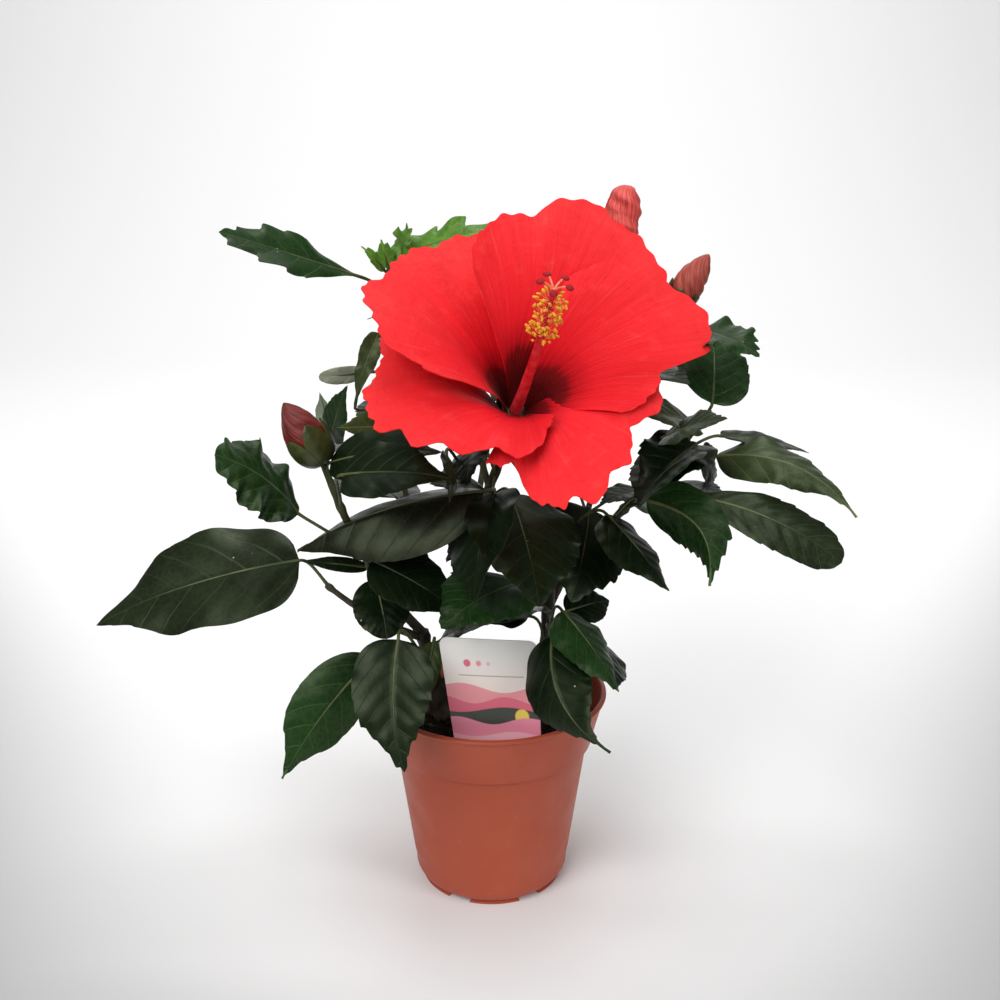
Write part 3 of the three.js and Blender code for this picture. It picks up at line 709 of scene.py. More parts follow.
def stalkMaterial():
    material, tree, shader = startMaterial("stalkGreen", **{"Specular IOR Level": 0.45, "Roughness": 0.5})
    place = objectPlace(tree)
    cloud = spread(tree, speckle(tree, place, 70.0, 3.0), 0.35, 0.65)
    wire(tree, shader, colour=blendColour(tree, cloud, *(rgb(*tone) for tone in stalkLook["tones"])),
         normal=bump(tree, speckle(tree, place, 600.0, 3.0), 0.4, 0.0003))
    return material


bark = barkMaterial()
stalkGreen = stalkMaterial()


def limbBark(name):
    foot, pull, tip = limbEnds(name)
    line = bow(foot, pull, tip, np.linspace(0, 1, 60)[:, None])
    length = np.linalg.norm(np.diff(line, axis=0), axis=1).sum()
    rings = int(length / barkLook["step"]) + 2
    s = np.linspace(0, 1, rings)
    path = np.array([limbPoint(name, share) for share in s])
    radii = limbRadius(name, s)
    if "parent" not in limbs[name]:
        radii = radii * (1 + barkLook["flare"] * np.exp(-s * length / barkLook["flareLength"]))
    grown = list(sprays.values()) + list(sideShoots.values())
    nodes = [at for limbName, at, _ in grown if limbName == name]
    nodes += [limb["at"] for limb in limbs.values() if limb.get("parent") == name]
    for at in nodes:
        radii = radii + barkLook["knot"] * np.exp(-(((s - at) * length) / 2.4) ** 2)
    turns = np.arange(barkLook["sides"]) / barkLook["sides"] * 2 * math.pi
    relief = np.empty((rings, barkLook["sides"]))
    for i in range(rings):
        for j, turn in enumerate(turns):
            spot = Vector((math.cos(turn) * 2.2, math.sin(turn) * 2.2, s[i] * length * 0.28))
            relief[i, j] = noise.fractal(spot + Vector(foot) * 0.1, 1.0, 2.0, 3)
    heap = Heap()
    heap.add(*tube(path, radii[:, None] * (1 + barkLook["relief"] * relief), barkLook["sides"]))
    obj = heap.build(f"bark_{name}", [bark])
    smooth(obj)
    finishPiece(obj, "bark", name)


for name in limbs:
    limbBark(name)
obj = stalks.build("leaf_stalks", [stalkGreen])
smooth(obj)
finishPiece(obj, "leaf")
print("stage: stems, boughs and stalks made")

# the bloom: five ruffled petals, the staminal column and the calyx

bloom = {"place": (11, -46, 282), "heading": -66, "rise": 55, "throat": 3, "thickness": 0.5,
         "along": 76, "across": 110, "start": 0.06, "baseHalf": 50, "settle": 0.6, "layer": (0.3, 1.3)}
# turn and base: where a petal points at its edge and at the throat; edge: (side, reach) round its margin
petals = {
    "petal_top": {
        "turn": 60, "base": 78, "length": 121, "slopes": (74, 46, 18, 4), "halves": (50, 54), "tilt": 8,
        "edge": ((-1, 0.80), (-0.75, 0.92), (-0.62, 1.0), (-0.5, 1.04), (-0.38, 1.07), (-0.25, 1.08),
                 (-0.12, 1.10), (0, 1.08), (0.08, 1.03), (0.13, 0.98), (0.2, 0.885), (0.26, 0.92),
                 (0.32, 0.90), (0.4, 0.88), (0.48, 0.86), (0.57, 0.83), (0.69, 0.76), (0.8, 0.72),
                 (0.87, 0.66), (0.94, 0.58), (1, 0.48)), "ruffle": 1.6},
    "petal_right": {
        "turn": 8, "base": 6, "length": 112, "slopes": (74, 40, 12, -4), "halves": (40, 46), "tilt": 10,
        "edge": ((-1, 0.5), (-0.8, 0.6), (-0.6, 0.66), (-0.38, 0.72), (-0.3, 0.86), (-0.22, 0.97),
                 (-0.12, 1.03), (0, 1.07), (0.13, 1.07), (0.25, 1.06), (0.37, 1.0), (0.5, 1.0),
                 (0.63, 0.92), (0.75, 0.85), (0.87, 0.78), (1, 0.69)), "ruffle": 1.6},
    "petal_lower": {
        "turn": -90, "base": -66, "length": 80, "slopes": (72, 30, 6, -14), "halves": (40, 86), "tilt": 5,
        "edge": ((-1, 0.68), (-0.8, 0.70), (-0.64, 0.64), (-0.54, 0.72), (-0.46, 0.84), (-0.33, 0.91),
                 (-0.2, 0.95), (-0.1, 0.96), (0, 0.90), (0.07, 0.98), (0.15, 0.95), (0.19, 0.90),
                 (0.27, 0.85), (0.36, 0.885), (0.45, 0.84), (0.53, 0.805), (0.59, 0.75), (0.64, 0.80),
                 (0.7, 0.85), (0.78, 0.93), (0.88, 0.98), (1, 0.96)), "ruffle": 2.2},
    "petal_front": {
        "turn": 196, "base": 222, "length": 85, "slopes": (72, 36, 8, -24), "halves": (60, 104), "tilt": 4,
        "edge": ((-1, 0.93), (-0.87, 0.96), (-0.76, 0.90), (-0.6, 0.91), (-0.4, 1.02), (-0.2, 1.02),
                 (-0.1, 1.05), (0, 0.92), (0.07, 0.98), (0.14, 0.80), (0.21, 0.86), (0.27, 0.74),
                 (0.34, 0.67), (0.42, 0.70), (0.5, 0.70), (0.61, 0.58), (0.72, 0.46), (0.9, 0.40),
                 (1, 0.37)), "ruffle": 2.0},
    "petal_left": {
        "turn": 138, "base": 150, "length": 98, "slopes": (72, 42, 18, 4), "halves": (54, 50), "tilt": 4,
        "edge": ((-1, 1.10), (-0.7, 1.04), (-0.47, 1.03), (-0.36, 1.03), (-0.25, 0.99), (-0.12, 0.98),
                 (0, 1.0), (0.10, 1.03), (0.23, 1.005), (0.28, 0.935), (0.46, 0.915), (0.54, 0.89),
                 (0.65, 0.80), (0.74, 0.735), (0.87, 0.69), (1, 0.60)), "ruffle": 1.8},
}
slopePlaces = (0, 0.25, 0.55, 1)
bloomPlace = np.array(bloom["place"], float)
bloomAxis = direction(bloom["heading"], bloom["rise"])
bloomRight = direction(bloom["heading"] + 90, 0)
bloomUp = direction(bloom["heading"] + 180, 90 - bloom["rise"])

petalLook = {
    "tones": ((0.0, (0.10, 0.004, 0.006)), (0.18, (0.060, 0.001, 0.002)), (0.28, (0.15, 0.001, 0.003)),
              (0.32, (0.46, 0.003, 0.009)), (0.42, (0.71, 0.008, 0.016)), (0.78, (0.80, 0.021, 0.027)),
              (1.0, (0.82, 0.029, 0.033))),  # from the throat to the edge
    "back": (0.72, 0.13, 0.10),
    "paleVein": (0.15, (0.95, 0.14, 0.12)), "darkVein": (0.12, (0.55, 0.004, 0.012)),
    # the two crease tones are a painted highlight and a painted shade on the crinkles
    "paintedCreaseHighlight": (0.10, (0.95, 0.16, 0.12)), "paintedCreaseShade": (0.28, (0.62, 0.008, 0.016)),
}


def petalMaterial(name, under=False):
    material, tree, shader = startMaterial(name, **{
        "Specular IOR Level": 0.2, "Specular Tint": rgb(1.0, 0.32, 0.28), "Sheen Weight": 0.06,
        "Sheen Roughness": 0.4, "Sheen Tint": rgb(1.0, 0.2, 0.15)})
    petalMap = parts(tree, uvMap(tree, "Petal"))
    along, side = petalMap["X"], petalMap["Y"]
    streak = speckle(tree, scaledPlace(tree, side, along, 46.0, 2.4), 1.0, 3.0, 0.6)
    fine = speckle(tree, scaledPlace(tree, side, along, 150.0, 7.0, 3.0), 1.0, 2.0)
    # the dark throat reaches out further along the middle, with a ragged edge
    off = calc(tree, "ABSOLUTE", minus(tree, side, 0.5))
    reach = plus(tree, along, times(tree, times(tree, off, off), 0.30))
    reach = plus(tree, reach, times(tree, minus(tree, streak, 0.5), 0.10))
    ramp = tree.nodes.new("ShaderNodeValToRGB")
    tree.links.new(reach, ramp.inputs[0])
    elements = ramp.color_ramp.elements
    while len(elements) < len(petalLook["tones"]):
        elements.new(0.5)
    for element, (spot, tone) in zip(elements, petalLook["tones"]):
        element.position, element.color = spot, rgb(*tone)
    colour = ramp.outputs[0]
    if under:
        colour = blendColour(tree, 0.35, colour, rgb(*petalLook["back"]))
    # pale and dark veins, then painted highlight and painted shade on the faces of the creases
    fold = speckle(tree, scaledPlace(tree, side, along, 11.0, 13.0, 7.0), 1.0, 4.0, 0.65)
    outer = spread(tree, along, 0.35, 0.7)
    shares = {"paleVein": times(tree, spread(tree, streak, 0.55, 0.78), spread(tree, along, 0.32, 0.5)),
              "darkVein": fade(tree, streak, 0.24, 0.42),
              "paintedCreaseHighlight": times(tree, spread(tree, fold, 0.52, 0.72), outer),
              "paintedCreaseShade": times(tree, fade(tree, fold, 0.30, 0.46), outer)}
    for name, share in shares.items():
        strength, tone = petalLook[name]
        colour = blendColour(tree, times(tree, share, strength), colour, rgb(*tone))
    relief = plus(tree, streak, times(tree, fine, 0.35))
    relief = plus(tree, relief, times(tree, times(tree, fold, outer), 1.6))
    grain = bump(tree, speckle(tree, objectPlace(tree), 1300.0, 2.0), 0.25, 0.0002)
    wire(tree, shader, colour=colour, rough=spread(tree, fine, 0.3, 0.7, 0.48, 0.66),
         normal=bump(tree, relief, 0.6, 0.0007, grain))
    return material


petalFace = petalMaterial("petalRed")
petalBack = petalMaterial("petalRedBack", under=True)


def petalSheet(petal, dice):
    rows, columns = bloom["along"] + 1, bloom["across"] + 1
    t, side = overGrid(np.linspace(bloom["start"], 1, rows), np.linspace(-1, 1, columns))
    marks, reaches = np.array(petal["edge"]).T
    edge = np.interp(side[0], marks, reaches)
    edge = np.convolve(np.pad(edge, 2, mode="edge"), (0.1, 0.22, 0.36, 0.22, 0.1), "valid")
    spots = dice.random(8) * 2 * math.pi
    angle = side * sum(petal["halves"]) / 100
    frill = 0.011 * np.sin(22 * angle[0] + spots[0]) + 0.008 * np.sin(51 * angle[0] + spots[1])
    reach = t * edge * (1 + frill * ease(0.6, 1, t))
    strides = 48  # walk out from the throat along the slopes
    radius, height = np.full_like(t, float(bloom["throat"])), np.zeros_like(t)
    for i in range(strides):
        slope = np.interp(reach * (i + 0.5) / strides, slopePlaces, petal["slopes"])
        slope = slope + petal["tilt"] * side
        radius += np.cos(np.radians(slope)) * petal["length"] * reach / strides
        height += np.sin(np.radians(slope)) * petal["length"] * reach / strides
    settled = ease(0, bloom["settle"], reach)
    halves = np.where(side < 0, petal["halves"][0], petal["halves"][1])
    halves = bloom["baseHalf"] + (halves - bloom["baseHalf"]) * settled
    turn = np.radians(petal["base"] + (petal["turn"] - petal["base"]) * settled + side * halves)
    points = (bloomPlace + (radius * np.cos(turn))[..., None] * bloomRight
              + (radius * np.sin(turn))[..., None] * bloomUp + height[..., None] * bloomAxis)
    normal = unit(np.cross(np.gradient(points, axis=0), np.gradient(points, axis=1)))
    outer = ease(0.45, 1.0, t) ** 1.5
    rise = (bloom["layer"][0] + bloom["layer"][1] * reach) * side
    rise += petal["ruffle"] * outer * (0.6 * np.sin(4.2 * angle + spots[3] + 2 * t)
                                       + 0.35 * np.sin(9.5 * angle + spots[4] - 3 * t)
                                       + 0.16 * np.sin(19 * angle + spots[6] + 4 * t))
    rise += 0.8 * ease(0.15, 0.5, reach) * (1 - 0.6 * outer) * np.sin(5 * angle + spots[5] + 1.5 * t)
    rise += 0.05 * np.sin(46 * angle + spots[7]) * ease(0.1, 0.3, t)
    points = points + rise[..., None] * normal
    return points, np.stack([reach, side * 0.5 + 0.5], -1)


for number, (name, petal) in enumerate(petals.items()):
    heap = Heap()
    points, petalMap = petalSheet(petal, np.random.default_rng(40 + number))
    heap.add(points, gridFaces(*points.shape[:2]), Petal=petalMap)
    obj = heap.build("bloom_" + name, [petalFace, petalBack])
    applyModifier(obj, "SOLIDIFY", thickness=bloom["thickness"] * mm, offset=-1, material_offset=1)
    smooth(obj)
    finishPiece(obj, "petal", name)
print("stage: petals made")


def plainLook(name, deep, light, rough, scale=200.0, relief=0.0003):
    material, tree, shader = startMaterial(name)
    place = objectPlace(tree)
    cloud = spread(tree, speckle(tree, place, scale, 3.0), 0.3, 0.7)
    wire(tree, shader, colour=blendColour(tree, cloud, rgb(*deep), rgb(*light)),
         rough=spread(tree, cloud, 0.0, 1.0, rough - 0.06, rough + 0.08),
         normal=bump(tree, speckle(tree, place, scale * 5, 3.0), 0.5, relief))
    return material


columnRed = plainLook("columnRed", (0.50, 0.006, 0.014), (0.78, 0.030, 0.040), 0.5)
antherGold = plainLook("antherGold", (0.80, 0.26, 0.010), (0.95, 0.55, 0.030), 0.8, 900.0, 0.0004)
stigmaRed = plainLook("stigmaRed", (0.26, 0.001, 0.004), (0.42, 0.003, 0.008), 0.85, 900.0, 0.0005)
filamentPale = plainLook("filamentPale", (0.85, 0.10, 0.06), (0.92, 0.30, 0.16), 0.5)

column = {"length": 84, "foot": 3.1, "neck": 1.7, "lift": 2.5, "lean": -2.5, "seed": 7, "anthers": 90,
          "headStart": 0.64, "headEnd": 0.97, "filament": (3.2, 6.5), "anther": 0.85, "branches": 5,
          "branchLength": 6.0, "branchSpread": 7.0, "pad": 2.0}


def blob(centre, radii, axis, sides=8, rings=6):
    side = unit(np.cross(axis, [0.31, 0.52, 0.79]))
    up = np.cross(axis, side)
    points, faces = [centre - axis * radii[2]], []
    for i in range(1, rings):
        a = math.pi * i / rings
        for j in range(sides):
            b = 2 * math.pi * j / sides
            points.append(centre - axis * radii[2] * math.cos(a)
                          + math.sin(a) * (side * radii[0] * math.cos(b) + up * radii[1] * math.sin(b)))
    points.append(centre + axis * radii[2])
    last = len(points) - 1
    for j in range(sides):
        k = (j + 1) % sides
        faces.append((0, 1 + k, 1 + j))
        faces.append((last, last - sides + j, last - sides + k))
        faces += [(1 + i * sides + j, 1 + i * sides + k, 1 + (i + 1) * sides + k, 1 + (i + 1) * sides + j)
                  for i in range(rings - 2)]
    return points, faces


def makeColumn():
    dice = np.random.default_rng(column["seed"])
    foot = bloomPlace + bloomAxis * 6
    top = bloomPlace + bloomAxis * column["length"] + bloomRight * column["lean"]
    pull = (foot + top) / 2 - bloomUp * column["lift"] - bloomRight * column["lean"] * 0.4
    s = np.linspace(0, 1, 60)[:, None]
    path = bow(foot, pull, top, s)
    heap = Heap()
    s = s[:, 0]
    radii = column["foot"] + (column["neck"] - column["foot"]) * s ** 0.7
    radii = np.where(s > 0.55, radii * (1 - 0.35 * (s - 0.55) / 0.45), radii)
    heap.add(*tube(path, radii, 14), 0)
    ahead = unit(top - pull)
    for i in range(column["anthers"]):
        share = (i + dice.random()) / column["anthers"]
        share = column["headStart"] + (column["headEnd"] - column["headStart"]) * share
        root = path[int(share * 59)]
        turn = goldenAngle * i + dice.uniform(-14, 14)
        spoke = turned(bloomRight, ahead, turn)
        length = dice.uniform(*column["filament"])
        tip = root + spoke * (length + 1) + ahead * length * dice.uniform(0.25, 0.75)
        mid = root + spoke * length * 0.4 + ahead * length * 0.05
        line = bezier(root, mid, (mid + tip) / 2, tip, 6)
        heap.add(*tube(line, np.linspace(0.24, 0.16, 6), 5), 1)
        size = column["anther"] * dice.uniform(0.8, 1.25)
        lie = unit(dice.normal(size=3))
        heap.add(*blob(tip, (size, size * 0.8, size * 1.35), lie), 2)
        spot = tip + lie * size * 0.9 + spoke * size * 0.4
        heap.add(*blob(spot, (size * 0.7, size * 0.7, size * 0.8), spoke), 2)
    for i in range(column["branches"]):
        spoke = turned(bloomUp, ahead, 360 / column["branches"] * i + 8)
        tip = top + spoke * column["branchSpread"]
        tip = tip + ahead * column["branchLength"] * (0.8 + 0.2 * (i % 2))
        line = bezier(top - ahead * 1.5, top + ahead * 3.2, top + spoke * 3.6 + ahead * 5.4, tip, 9)
        heap.add(*tube(line, np.linspace(0.62, 0.42, 9), 7), 1)
        heap.add(*blob(tip, (column["pad"], column["pad"], 0.95), unit(ahead + 0.25 * spoke), 14, 8), 3)
    obj = heap.build("bloom_column", [columnRed, filamentPale, antherGold, stigmaRed])
    smooth(obj, 70)
    finishPiece(obj, "column", "stamen_column")


makeColumn()

calyxGreen = plainLook("calyxGreen", (0.026, 0.034, 0.006), (0.060, 0.072, 0.014), 0.42, 160.0)


def lobes(heap, foot, axis, radiusAt, length, count, lift, seed, spreadOut=0.0):
    # pointed lobes that hug a round body: radiusAt gives its radius along the axis
    dice = np.random.default_rng(seed)
    side = unit(np.cross(axis, [0.2, 0.9, 0.3]))
    rows, columns = 18, 9
    for k in range(count):
        u, v = overGrid(np.linspace(0, 1, rows), np.linspace(-1, 1, columns))
        taper = np.where(u < 0.35, 1.0, np.sqrt(np.maximum(0, 1 - ((u - 0.35) / 0.65) ** 1.6)))
        turn = math.pi / count * 1.12 * v * np.maximum(taper, 0.03)
        turn = turn + 2 * math.pi * k / count + dice.uniform(-0.08, 0.08)
        reach = u * length * dice.uniform(0.92, 1.08)
        radius = radiusAt(reach) + lift + 0.35 * (k % 2) + spreadOut * u ** 2 + 0.25 * (1 - v ** 2)
        spokes = spokesAt(turn, side, np.cross(axis, side))
        points = foot + reach[..., None] * axis + radius[..., None] * spokes
        heap.add(points[:, ::-1], gridFaces(rows, columns))


def bracts(heap, foot, axis, count, length, root, seed):
    dice = np.random.default_rng(seed)
    side = unit(np.cross(axis, [0.2, 0.9, 0.3]))
    for k in range(count):
        spoke = turned(side, axis, 360 / count * k + dice.uniform(-12, 12))
        tip = foot + spoke * (root + length * dice.uniform(0.35, 0.75))
        tip = tip + axis * length * dice.uniform(0.6, 0.95)
        line = bezier(foot + spoke * root * 0.6, foot + spoke * (root + 2.5),
                      (foot + tip) / 2 + spoke * 1.5, tip, 9)
        heap.add(*tube(line, 0.75 * (1 - np.linspace(0, 1, 9) ** 2) + 0.14, 6))


def makeCalyx():
    foot = bloomPlace - bloomAxis * 15
    heap = Heap()
    # the lobes, then the cup inside them and the small bracts round its foot
    lobes(heap, foot, bloomAxis, lambda s: 2.4 + 6.0 * np.sin(np.minimum(1, s / 17) * math.pi / 2),
          27, 5, 0.3, 3, spreadOut=1.5)
    obj = heap.build("bloom_calyx_lobes", [calyxGreen])
    applyModifier(obj, "SOLIDIFY", thickness=0.6 * mm, offset=0)
    cup = Heap()
    s = np.linspace(0, 18, 14)
    path = foot + s[:, None] * bloomAxis
    cup.add(*tube(path, 2.2 + 5.6 * np.sin(np.minimum(1, s / 17) * math.pi / 2), 20))
    bracts(cup, foot, bloomAxis, 7, 15, 2.4, 5)
    core = cup.build("calyx_cup", [calyxGreen])
    joinTo(obj, core)
    obj.name = "bloom_calyx"
    smooth(obj)
    finishPiece(obj, "calyx", "calyx")


makeCalyx()
print("stage: column and calyx made")

# the buds: petals wound round each other, held in green lobes

buds = {
    "bud_left": {"limb": "bough_left_bud", "heading": -165, "rise": 60, "length": 37, "radius": 10.4,
                 "fall": 0.78, "twist": 1.1, "step": 0.10, "crinkle": 0.02, "calyx": 22, "seed": 11,
                 "deep": (0.070, 0.006, 0.006), "light": (0.26, 0.028, 0.018)},
    "bud_top": {"limb": "stem_right", "heading": 10, "rise": 82, "length": 49, "radius": 9.8,
                "fall": 0.36, "twist": 0.5, "step": 0.14, "crinkle": 0.12, "calyx": 20, "seed": 12,
                "deep": (0.48, 0.035, 0.030), "light": (0.92, 0.13, 0.11)},
    "bud_right": {"limb": "bough_right_bud", "heading": -12, "rise": 58, "length": 34, "radius": 8.2,
                  "fall": 0.72, "twist": 1.6, "step": 0.12, "crinkle": 0.03, "calyx": 13, "seed": 13,
                  "deep": (0.22, 0.025, 0.019), "light": (0.54, 0.100, 0.066)},
}


def budMaterial(name, bud):
    material, tree, shader = startMaterial(name, **{"Specular IOR Level": 0.4})
    winding = parts(tree, uvMap(tree, "Winding"))
    streak = speckle(tree, scaledPlace(tree, winding["X"], winding["Y"], 60.0, 3.0), 1.0, 3.0)
    grain = bump(tree, speckle(tree, objectPlace(tree), 900.0, 3.0), 0.35, 0.0003)
    wire(tree, shader,
         colour=blendColour(tree, spread(tree, streak, 0.3, 0.7), rgb(*bud["deep"]), rgb(*bud["light"])),
         rough=spread(tree, streak, 0.3, 0.7, 0.36, 0.55), normal=bump(tree, streak, 0.7, 0.0010, grain))
    return material


def makeBud(name, bud):
    axis = direction(bud["heading"], bud["rise"])
    foot = limbPoint(bud["limb"], 1) - axis * 1.5
    rise, fall, length = 0.45, bud["fall"], bud["length"]
    widest = rise / (rise + fall)

    def radiusAt(reach):
        t = np.clip(reach / length, 1e-3, 1 - 1e-3)
        return bud["radius"] * (t / widest) ** rise * ((1 - t) / (1 - widest)) ** fall

    rows, columns = 64, 90
    t, turn = overGrid(np.linspace(0.002, 0.998, rows), np.linspace(0, 2 * math.pi, columns))
    winding = turn * 5 / (2 * math.pi) + bud["twist"] * t * 2
    saw = winding % 1
    radius = radiusAt(t * length)
    overlap = 1 + bud["step"] * (np.minimum(saw * 1.25, (1 - saw) * 6) - 0.5) * ease(0.15, 0.5, t)
    side = unit(np.cross(axis, [0.2, 0.9, 0.3]))
    crumple = np.zeros_like(t)
    dice = np.random.default_rng(bud["seed"])
    for wave in range(1, 7):
        a, b = dice.integers(1, 5), dice.uniform(3, 16)
        crumple += np.sin(a * turn + b * t * 3 + dice.random() * 6) / 3
    radius = radius * overlap * (1 + bud["crinkle"] * crumple * ease(0.2, 0.6, t))
    spokes = spokesAt(turn, side, np.cross(axis, side))
    points = foot + (t * length)[..., None] * axis + radius[..., None] * spokes
    heap = Heap()
    faces = [(a, d, c, b) for a, b, c, d in gridFaces(rows, columns)]
    heap.add(points, faces, 0, Winding=np.stack([winding / 5, t], -1))
    obj = heap.build(f"flower_{name}", [budMaterial(f"budRed_{name}", bud), calyxGreen])
    pick(obj)
    bpy.ops.object.mode_set(mode="EDIT")
    bpy.ops.mesh.select_all(action="SELECT")
    bpy.ops.mesh.remove_doubles(threshold=0.00005)
    bpy.ops.mesh.select_all(action="DESELECT")
    bpy.ops.mesh.select_non_manifold()
    bpy.ops.mesh.edge_face_add()
    bpy.ops.object.mode_set(mode="OBJECT")
    green = Heap()
    lobes(green, foot, axis, radiusAt, bud["calyx"], 5, 0.5, bud["seed"])
    cover = green.build("lobes", [calyxGreen])
    applyModifier(cover, "SOLIDIFY", thickness=0.7 * mm, offset=0)
    rest = Heap()
    bracts(rest, foot, axis, 7, 11, 2.2, bud["seed"] + 1)
    spines = rest.build("bracts", [calyxGreen])
    joinTo(obj, cover, spines)
    smooth(obj)
    finishPiece(obj, "bud", name)


for name, bud in buds.items():
    makeBud(name, bud)
print("stage: buds made")

# the pot, turned ring by ring from its underside to its inner floor

pot = {"rim": 65.0, "height": 115.0, "bandFoot": 86.0, "bandRadius": 57.0, "wallTop": 54.5,
       "wallFoot": 45.0, "foot": 41.0, "wall": 1.6, "floor": 3.5, "boss": 13.0, "sides": 144,
       "feet": 6, "notchDepth": 14.0, "notchWidth": 13.0, "notchHeight": 3.6, "firstNotch": -57.0,
       "drainRadius": 3.5, "drainCircle": 26.0}
potLook = {"deep": (0.380, 0.062, 0.026), "light": (0.425, 0.076, 0.034),
           "streak": (0.18, (0.52, 0.165, 0.115)), "scuff": (0.18, (0.56, 0.23, 0.17)),
           "dirt": (0.45, (0.10, 0.04, 0.025))}


def arc(centreRadius, centreHeight, radius, start, end, steps):
    turns = np.radians(np.linspace(start, end, steps))
    return [(centreRadius + radius * math.cos(a), centreHeight + radius * math.sin(a)) for a in turns]


def potMaterial():
    material, tree, shader = startMaterial("potTerracotta", **{"Specular IOR Level": 0.4})
    place = objectPlace(tree)
    cloud = spread(tree, speckle(tree, place, 16.0, 4.0), 0.3, 0.7)
    colour = blendColour(tree, cloud, rgb(*potLook["deep"]), rgb(*potLook["light"]))
    streaks = speckle(tree, place, 22.0, 5.0, stretch=(1.0, 1.0, 0.12))
    shares = {"streak": spread(tree, streaks, 0.55, 0.75),
              "scuff": spread(tree, speckle(tree, place, 75.0, 6.0, 0.7), 0.62, 0.74),
              "dirt": spread(tree, speckle(tree, place, 260.0, 3.0), 0.73, 0.78)}
    for name, share in shares.items():
        strength, tone = potLook[name]
        colour = blendColour(tree, times(tree, share, strength), colour, rgb(*tone))
    relief = plus(tree, speckle(tree, place, 700.0, 4.0), times(tree, shares["scuff"], 0.3))
    wire(tree, shader, colour=colour, normal=bump(tree, relief, 0.35, 0.0003),
         rough=spread(tree, speckle(tree, place, 50.0, 4.0), 0.3, 0.7, 0.42, 0.58))
    return material


def makePot():
    top = pot["height"]
    rings = [(pot["boss"], 0), (pot["boss"] + 1, pot["floor"]), (pot["foot"] - 5, pot["floor"]),
             (pot["foot"] - 4, 0.4), (pot["foot"] - 3.4, 0), (pot["foot"] - 0.8, 0)]
    rings += arc(pot["foot"] - 7.5, 10.5, 10.5, -62, -12, 8)
    rings += [(pot["wallFoot"] - 1.1, 12), (pot["wallFoot"] + 0.1, 18)]
    rings += [(pot["wallTop"] - 0.2, pot["bandFoot"] - 3), (pot["wallTop"], pot["bandFoot"] - 1.4)]
    rings += arc(pot["bandRadius"] - 0.9, pot["bandFoot"] + 0.1, 0.9, -90, 0, 5)
    rings += [(pot["bandRadius"] + 0.4, pot["bandFoot"] + 2.5), (pot["rim"] - 2.0, top - 5.0),
              (pot["rim"] - 1.7, top - 3.2)]
    rings += arc(pot["rim"] - 1.0, top - 1.4, 1.0, -60, 60, 6)
    rings += arc(pot["rim"] - 1.9, top - 1.0, 1.0, 75, 150, 5)
    rings += [(pot["rim"] - 3.6, top - 3), (pot["bandRadius"] - pot["wall"], pot["bandFoot"] + 3),
              (pot["wallTop"] - pot["wall"], pot["bandFoot"] - 1), (pot["wallFoot"] - pot["wall"], 18),
              (pot["foot"] - 2.6, pot["floor"] + 2)]
    bpy.ops.mesh.primitive_circle_add(vertices=pot["sides"], radius=rings[0][0] * mm, fill_type="NGON",
                                      location=(0, 0, rings[0][1] * mm))
    obj = bpy.context.object
    obj.name = "flower_pot"
    bpy.ops.object.transform_apply(location=True, rotation=True, scale=True)
    bpy.ops.object.mode_set(mode="EDIT")
    bpy.ops.mesh.select_all(action="SELECT")
    bpy.ops.mesh.flip_normals()
    bpy.ops.mesh.select_mode(type="EDGE")
    bpy.ops.mesh.select_all(action="SELECT")
    for (r0, z0), (r1, z1) in zip(rings, rings[1:]):
        bpy.ops.mesh.extrude_edges_move(TRANSFORM_OT_translate={"value": (0, 0, (z1 - z0) * mm)})
        bpy.ops.transform.resize(value=(r1 / r0, r1 / r0, 1), center_override=(0, 0, z1 * mm))
    bpy.ops.mesh.edge_face_add()
    bpy.ops.mesh.select_all(action="SELECT")
    bpy.ops.mesh.normals_make_consistent(inside=False)
    bpy.ops.object.mode_set(mode="OBJECT")
    for i in range(pot["feet"]):
        turn = math.radians(pot["firstNotch"] + 360 / pot["feet"] * i)
        out, drain = (pot["foot"] + 2) * mm, pot["drainCircle"] * mm
        bpy.ops.mesh.primitive_cube_add(size=1, location=(out * math.cos(turn), out * math.sin(turn), 0),
                                        rotation=(0, 0, turn),
                                        scale=(pot["notchDepth"] * mm, pot["notchWidth"] * mm,
                                               2 * pot["notchHeight"] * mm))
        notch = bpy.context.object
        bpy.ops.mesh.primitive_cylinder_add(vertices=24, radius=pot["drainRadius"] * mm, depth=20 * mm,
                                            location=(drain * math.cos(turn), drain * math.sin(turn), 0))
        hole = bpy.context.object
        for cutter in (notch, hole):
            applyModifier(obj, "BOOLEAN", object=cutter, operation="DIFFERENCE", solver="EXACT")
            bpy.data.objects.remove(cutter)
    obj.data.materials.clear()
    obj.data.materials.append(potMaterial())
    smooth(obj, 40)
    finishPiece(obj, "pot_plastic", "pot")


makePot()
print("stage: pot made")

# the soil: crumbly peat with loose crumbs on it

soil = {"top": 100.0, "radius": 57.4, "depth": 14.0, "rings": 58, "sides": 190, "relief": 2.6,
        "crumbs": 900, "seed": 5, "deep": (0.006, 0.0035, 0.002), "light": (0.034, 0.020, 0.012),
        "bit": (0.16, 0.105, 0.062)}


def soilMaterial():
    material, tree, shader = startMaterial("peat", **{"Specular IOR Level": 0.25, "Roughness": 0.95})
    place = objectPlace(tree)
    coarse = speckle(tree, place, 130.0, 6.0, 0.7)
    colour = blendColour(tree, spread(tree, coarse, 0.3, 0.7), rgb(*soil["deep"]), rgb(*soil["light"]))
    bits = put(tree, "TexVoronoi", {"Vector": place, "Scale": 260.0}, feature="F1")
    pale = calc(tree, "GREATER_THAN", put(tree, "SeparateColor", {0: bits["Color"]})[1], 0.93)
    colour = blendColour(tree, times(tree, pale, 0.55), colour, rgb(*soil["bit"]))
    wire(tree, shader, colour=colour, normal=bump(tree, coarse, 0.9, 0.0015))
    return material


